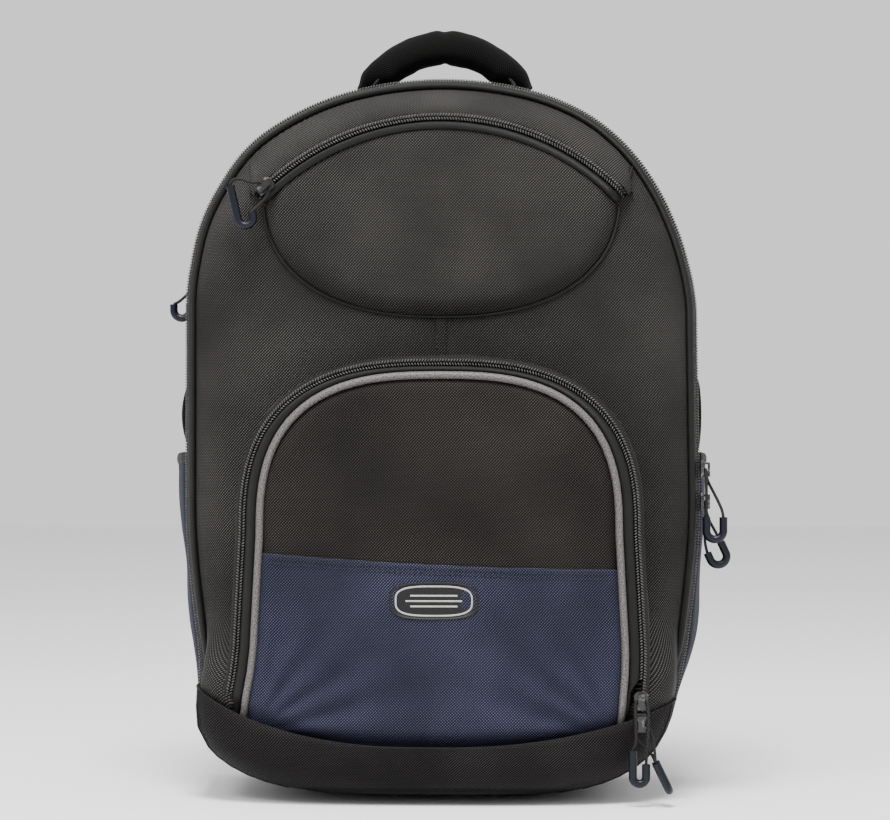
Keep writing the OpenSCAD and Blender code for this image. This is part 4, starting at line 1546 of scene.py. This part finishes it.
def badge_line(name, line, closed):
    """A raised line on the badge."""
    last = len(line) - 1
    count = len(line) + (1 if closed else 0)

    def place(k, a):
        here = Vector(line[k % len(line)])
        after = Vector(line[(k + 1) % len(line)] if closed else line[min(k + 1, last)])
        before = Vector(line[(k - 1) % len(line)] if closed else line[max(k - 1, 0)])
        side = (after - before).normalized().cross(Vector((0, 1, 0)))
        return here + side * 0.55 * math.cos(a) + Vector((0, -0.45, 0)) * math.sin(a)

    return surface(name, range(count), np.linspace(0, math.pi, 6), place, BADGE_LINE,
                   outward=to_front, leans=False)


def make_badge():
    def layer(pair, a):
        k, depth = pair
        x, z = lozenge(a)
        return BADGE_X + x * k, BADGE_Y + depth, BADGE_Z + z * k

    made = [surface("badge_body", BADGE_LAYERS, turns(48), layer, BADGE,
                    wrap=True, outward=to_front, leans=False)]
    ring = [(BADGE_X + x * 0.84, BADGE_Y + 0.35, BADGE_Z + z * 0.78) for x, z in map(lozenge, turns(48))]
    made.append(badge_line("badge_line_0", ring, True))
    for n, (up, half) in enumerate(((3.4, 15), (0, 18), (-3.4, 15))):
        bar = [(BADGE_X + x, BADGE_Y + 0.35, BADGE_Z + up) for x in np.linspace(-half, half, 8)]
        made.append(badge_line("badge_line_%d" % (n + 1), bar, False))
    finished(joined("badge_patch", made), "pocket_flap", ["badge"])


make_badge()


def make_organiser():
    """Pen sleeves and a small pocket sewn to the wall inside the front pocket."""
    half_w, low_z, high_z = high("organiser", X), low("organiser", Z), high("organiser", Z)
    parts = ((-half_w, half_w, high_z, 0.6), (-half_w, -30, high_z - 46, 2.2), (-30, 4, high_z - 18, 2.4),
             (4, 28, high_z - 18, 2.4), (28, half_w, high_z - 50, 2.2))
    pieces = []
    for n, (left, right, top, rise) in enumerate(parts):
        def place(z, t):
            puff = rise * math.sin(math.pi * t) ** 0.6 if 0 < t < 1 else 0
            return left + (right - left) * t, WALL_Y - 2.2 - puff - 0.2 * n, z

        heights, shares = np.linspace(low_z, top, 18), np.linspace(0, 1, 14)
        pieces.append(surface("organiser_part_%d" % n, heights, shares, place, LINING, outward=to_front))
    finished(thick(joined("organiser_pockets", pieces), 0.6), "front_panel", ["organiser"])


make_organiser()


# ---------------------------------------------------------------- handle, pads and straps

HANDLE_END_A = 29


def handle_point(a, b):
    """A point of the handle's cover: a degrees along its arc, and an angle b round it."""
    t = math.radians(a)
    run = math.radians(a - HANDLE_END_A) * HANDLE_R
    from_end = min(a, 180 - a) - HANDLE_END_A
    crease = 1.1 * math.exp(-((a - 90) / 2.6) ** 2)
    inner = 48.6 + 12.5 * (1 - smooth_step(from_end / 20)) + crease
    outer = 70.4 + 1.2 * math.exp(-((a - 90) / 14) ** 2) - crease - 2.6 * (1 - smooth_step(from_end / 10))
    crumple = 0.7 * ripple(run, b * 10, 12, 70.0)
    r = (outer + inner) / 2 + (outer - inner) / 2 * rounded(math.cos(b), 0.8) + crumple
    wide = (7.5 + 6 * smooth_step(from_end / 20)) * rounded(math.sin(b), 0.75)
    return r * math.cos(t), HANDLE_Y + wide, HANDLE_Z + r * math.sin(t), run, b * 28 / (2 * math.pi) * 2.8


def make_handle():
    """The padded cover, flattened over its webbing, and the tabs the webbing is sewn down to."""
    along = np.linspace(HANDLE_END_A, 180 - HANDLE_END_A, 76)
    piece = surface("handle_cover_padding", along, turns(28), handle_point, FINE_BLACK,
                    wrap=True, caps=True, leans=False)
    finished(puffed(piece), "handle", ["handle_cover"])
    angles = np.radians(np.linspace(35, 145, 40))
    centres = [(HANDLE_R * math.cos(t), HANDLE_Y, HANDLE_Z + HANDLE_R * math.sin(t)) for t in angles]
    core = strap_strip("handle_core_webbing", centres, (0, 1, 0), (0, 0, 1), 11, 2.6)
    finished(core, "handle", ["handle_core"])
    tabs = []
    for side in (-1, 1):
        centres = []
        for x in np.linspace(36, 68, 10):
            a = math.asin(x / CROWN_R)
            centres.append((side * x, HANDLE_Y, CROWN_Z - CROWN_R + (CROWN_R + 1.2) * math.cos(a)))
        tabs.append(strap_strip("handle_tab_%d" % (side + 1), centres, (0, 1, 0), (0, 0, 1), 15, 1.8))
    finished(joined("handle_anchor_tabs", tabs), "bag", ["handle_anchors"])


make_handle()


def pad_piece(name, width_at, z_low, z_high, centre_x, channels):
    """A quilted pad on the back: crowned, drawn in at its edges and along its sewn channels."""
    def place(t, s):
        z = z_low + (z_high - z_low) * t
        half = width_at(t)
        x = centre_x + half * s
        rise = crown(half * (1 - abs(s)), 12, 2.2) * crown(min(t, 1 - t) * (z_high - z_low), 14, 2.2)
        dip = sum(math.exp(-((z - c) / 3.0) ** 2) for c in channels)
        y = BACK_Y - 0.6 + 8.6 * rise * (1 - 0.55 * min(dip, 1)) + 0.25 * ripple(x, z, 20, 80.0)
        return x, y, z

    return surface(name, np.linspace(0, 1, 46), eased(24), place, MESH, outward=to_back, leans=False)


def make_back_pads():
    z_low, z_high = low("back_pads", Z), high("back_pads", Z)
    inner, outer = 8, high("back_pads", X)
    height = z_high - z_low

    def half(t):
        end = min(t, 1 - t) * height
        return (outer - inner) / 2 * (1 - 0.5 * (1 - min(end / 24, 1)) ** 2)

    channels = [z_low + height * k for k in (0.25, 0.5, 0.75)]
    for side, name in ((-1, "left"), (1, "right")):
        centre = side * (inner + outer) / 2
        piece = pad_piece("back_pad_" + name, half, z_low + 1, z_high - 1, centre, channels)
        finished(puffed(thick(piece, 1.0)), "bag", ["back_pads"] if side > 0 else ())


make_back_pads()

STRAP_X, STRAP_Z, STRAP_LEAN = 85, 300, math.radians(9.5)
STRAP_ARC_R, STRAP_BOW, STRAP_T, STRAP_W = 390, 26, 12, 64
STRAP_TOP, STRAP_END = 137, -135


def strap_point(side, across, y, along):
    """A point of a shoulder strap, given in its own upright frame, after the strap leans out."""
    c, s = math.cos(STRAP_LEAN), math.sin(STRAP_LEAN)
    x = side * STRAP_X + side * (across * c - along * s)
    return x, y, STRAP_Z + across * s + along * c


def strap_middle_y(along):
    """The middle of the strap's thickness: bowed off the back, and down under the yoke at its top."""
    y = BACK_Y + STRAP_BOW - STRAP_ARC_R + math.sqrt((STRAP_ARC_R + STRAP_T / 2) ** 2 - along ** 2)
    return max(y, BACK_Y + STRAP_T / 2 * 0.7) - 5 * smooth_step((along - 100) / 32)


def strap_half_width(along):
    return STRAP_W / 2 * (1 - 0.42 * (1 - min((along - STRAP_END) / 46, 1)) ** 2)


def make_strap(side, name):
    """A padded shoulder strap, the webbing sewn to its edges and its middle, and the webbing below it."""
    def place(along, b):
        end = min(along - STRAP_END, STRAP_TOP - along)
        half = strap_half_width(along)
        puff = STRAP_T / 2 * (0.55 + 0.45 * min(end / 18, 1)) * (1 - 0.5 * smooth_step((along - 104) / 28))
        across = half * rounded(math.cos(b), 0.55)
        edge_in = 1 - abs(across) / half
        seam = 0.72 + 0.28 * min(1, edge_in / 0.14)
        y = strap_middle_y(along) + puff * seam * rounded(math.sin(b), 0.8)
        y += 0.35 * ripple(across, along, 22, 90.0 + side)
        return *strap_point(side, across, y, along), across + (80 if math.sin(b) < 0 else 0), along

    length = np.linspace(STRAP_END + 1, STRAP_TOP - 1, 56)
    piece = surface("shoulder_strap_%s_padding" % name, length, turns(36), place, MESH,
                    wrap=True, caps=True, leans=False)
    finished(puffed(piece), "bag", ["shoulder_strap_" + name])

    def points(start, end, count, across, y_at):
        """Points along the strap, where across and y_at are functions of the distance along it."""
        return [strap_point(side, across(a), y_at(a), a) for a in np.linspace(start, end, count)]

    trims = []
    for hand in (-1, 1):
        edge = points(STRAP_END + 2, STRAP_TOP - 2, 50,
                      lambda a: hand * (strap_half_width(a) - 0.6), strap_middle_y)
        piece = strap_strip("strap_edge_%s_%d" % (name, hand + 1), edge, (0, 1, 0), (hand, 0, 0), 3.4, 2.4)
        trims.append(piece)
    daisy = points(STRAP_END + 4, STRAP_TOP - 34, 50, lambda a: 0,
                   lambda a: strap_middle_y(a) + STRAP_T / 2 + 2.7)
    trims.append(strap_strip("strap_daisy_" + name, daisy, (1, 0, 0), (0, 1, 0), 10, 1.4))
    finished(joined("shoulder_strap_trim_" + name, trims), "bag")
    tail = points(-256, -156, 26, lambda a: 0,
                  lambda a: BACK_Y + 2.2 + 0.8 * math.sin((a + 256) / 100 * math.pi * 2) ** 2)
    across = (math.cos(STRAP_LEAN), 0, side * math.sin(STRAP_LEAN))
    web = strap_strip("strap_webbing_%s_strip" % name, tail, across, (0, 1, 0), WEBBING_HALF_W, 1.8)
    finished(web, "bag", ["strap_webbing_" + name])


make_strap(-1, "left")
make_strap(1, "right")


def make_strap_yoke():
    """The padded yoke that the straps are sewn under."""
    z_low, z_high, half = low("strap_yoke", Z), high("strap_yoke", Z), high("strap_yoke", X)

    def place(t, s):
        z = z_low - 5 + (z_high - z_low + 6) * t
        w = min(half, math.sqrt(max((CROWN_R - 7) ** 2 - (z - CROWN_Z + CROWN_R) ** 2, 100))) * (1 - 0.02 * t)
        edge_in = min(w * (1 - abs(s)), min(t, 1 - t) * 33)
        y = BACK_Y - 0.3 + 15.5 * crown(edge_in, 13, 2.2) + 0.4 * ripple(s * w, z, 26, 95.0)
        return s * w, y, z

    piece = surface("strap_yoke_fabric", np.linspace(0, 1, 16), eased(44), place, BLACK,
                    outward=to_back, leans=False)
    finished(thick(piece, 1.2), "bag", ["strap_yoke"])


def make_anchor_tabs():
    """The triangles of fabric that hold the lower ends of the straps."""
    tabs = []
    for side in (-1, 1):
        a, b, c = (np.array((side * x, z)) for x, z in ((145, 50), (104, 46), (120, 20)))

        def place(t, s):
            p = a + (b - a) * s
            x, z = p + (c - p) * t * 0.94
            edge_in = min(s, 1 - s, t + 0.1, 1.02 - t) * 30
            return x, BACK_Y - 0.2 + 3.6 * crown(edge_in, 8, 2), z

        shares = np.linspace(0, 1, 12)
        tabs.append(surface("anchor_tab_%d" % (side + 1), shares, shares, place, BLACK,
                            outward=to_back, leans=False))
    finished(thick(joined("strap_anchor_tabs", tabs), 1.2), "bag", ["anchor_tabs"])


make_strap_yoke()
make_anchor_tabs()


# ---------------------------------------------------------------- sliders and grips

def cad_piece(node):
    """The CAD object of a node, which holds its true place."""
    return next(o for o in bpy.context.scene.objects if o.get("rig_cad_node") == node)


def repaint(node, material, bevel=0.0):
    """A CAD node whose shape is right keeps it, with a better material and softened edges."""
    piece = cad_piece(node)
    piece.data.materials.clear()
    piece.data.materials.append(material)
    if bevel:
        edge = piece.modifiers.new("edges", "BEVEL")
        edge.width = bevel * MM
        edge.segments = 3
        edge.limit_method = "ANGLE"


repaint("frame_sheet", BOARD)
for name in ("left", "right"):
    repaint("ladder_lock_" + name, BUCKLE, 0.7)
for name in PULLS:
    repaint("slider_" + name, METAL, 0.5)
    repaint("grip_" + name, GRIP, 0.8)


# ---------------------------------------------------------------- floor and light

FLOOR_SIZE = 8
SKY_STRENGTH = 1.05
LIGHTS = {
    "key": ((-1.0, -1.5, 2.0), 0.8, 32),
    "fill": ((1.5, -1.5, 1.1), 1.6, 4),
    "top": ((0.0, -0.95, 2.2), 0.8, 92),
}
LIT_POINT = Vector((0, 0, 0.25))


def make_stage():
    """A pale floor, an even sky and three lamps, each given by its place, its size and its power in watts."""
    bpy.ops.mesh.primitive_plane_add(size=FLOOR_SIZE, location=(0, 1.2, 0))
    floor = bpy.context.object
    floor.name = "floor"
    s = Shader("pale_floor", Roughness=0.9)
    s.paint(s.noise(3, 2), (0.86, 0.86, 0.86), (0.90, 0.90, 0.90))
    floor.data.materials.append(s.material)
    world = bpy.data.worlds.new("studio")
    bpy.context.scene.world = world
    world.use_nodes = True
    world.node_tree.nodes["Background"].inputs["Color"].default_value = (1, 1, 1, 1)
    world.node_tree.nodes["Background"].inputs["Strength"].default_value = SKY_STRENGTH
    for name, (place, size, power) in LIGHTS.items():
        data = bpy.data.lights.new(name, "AREA")
        data.size = size
        data.energy = power
        lamp = link(bpy.data.objects.new(name, data))
        lamp.location = place
        lamp.rotation_euler = (LIT_POINT - Vector(place)).to_track_quat("-Z", "Y").to_euler()


make_stage()
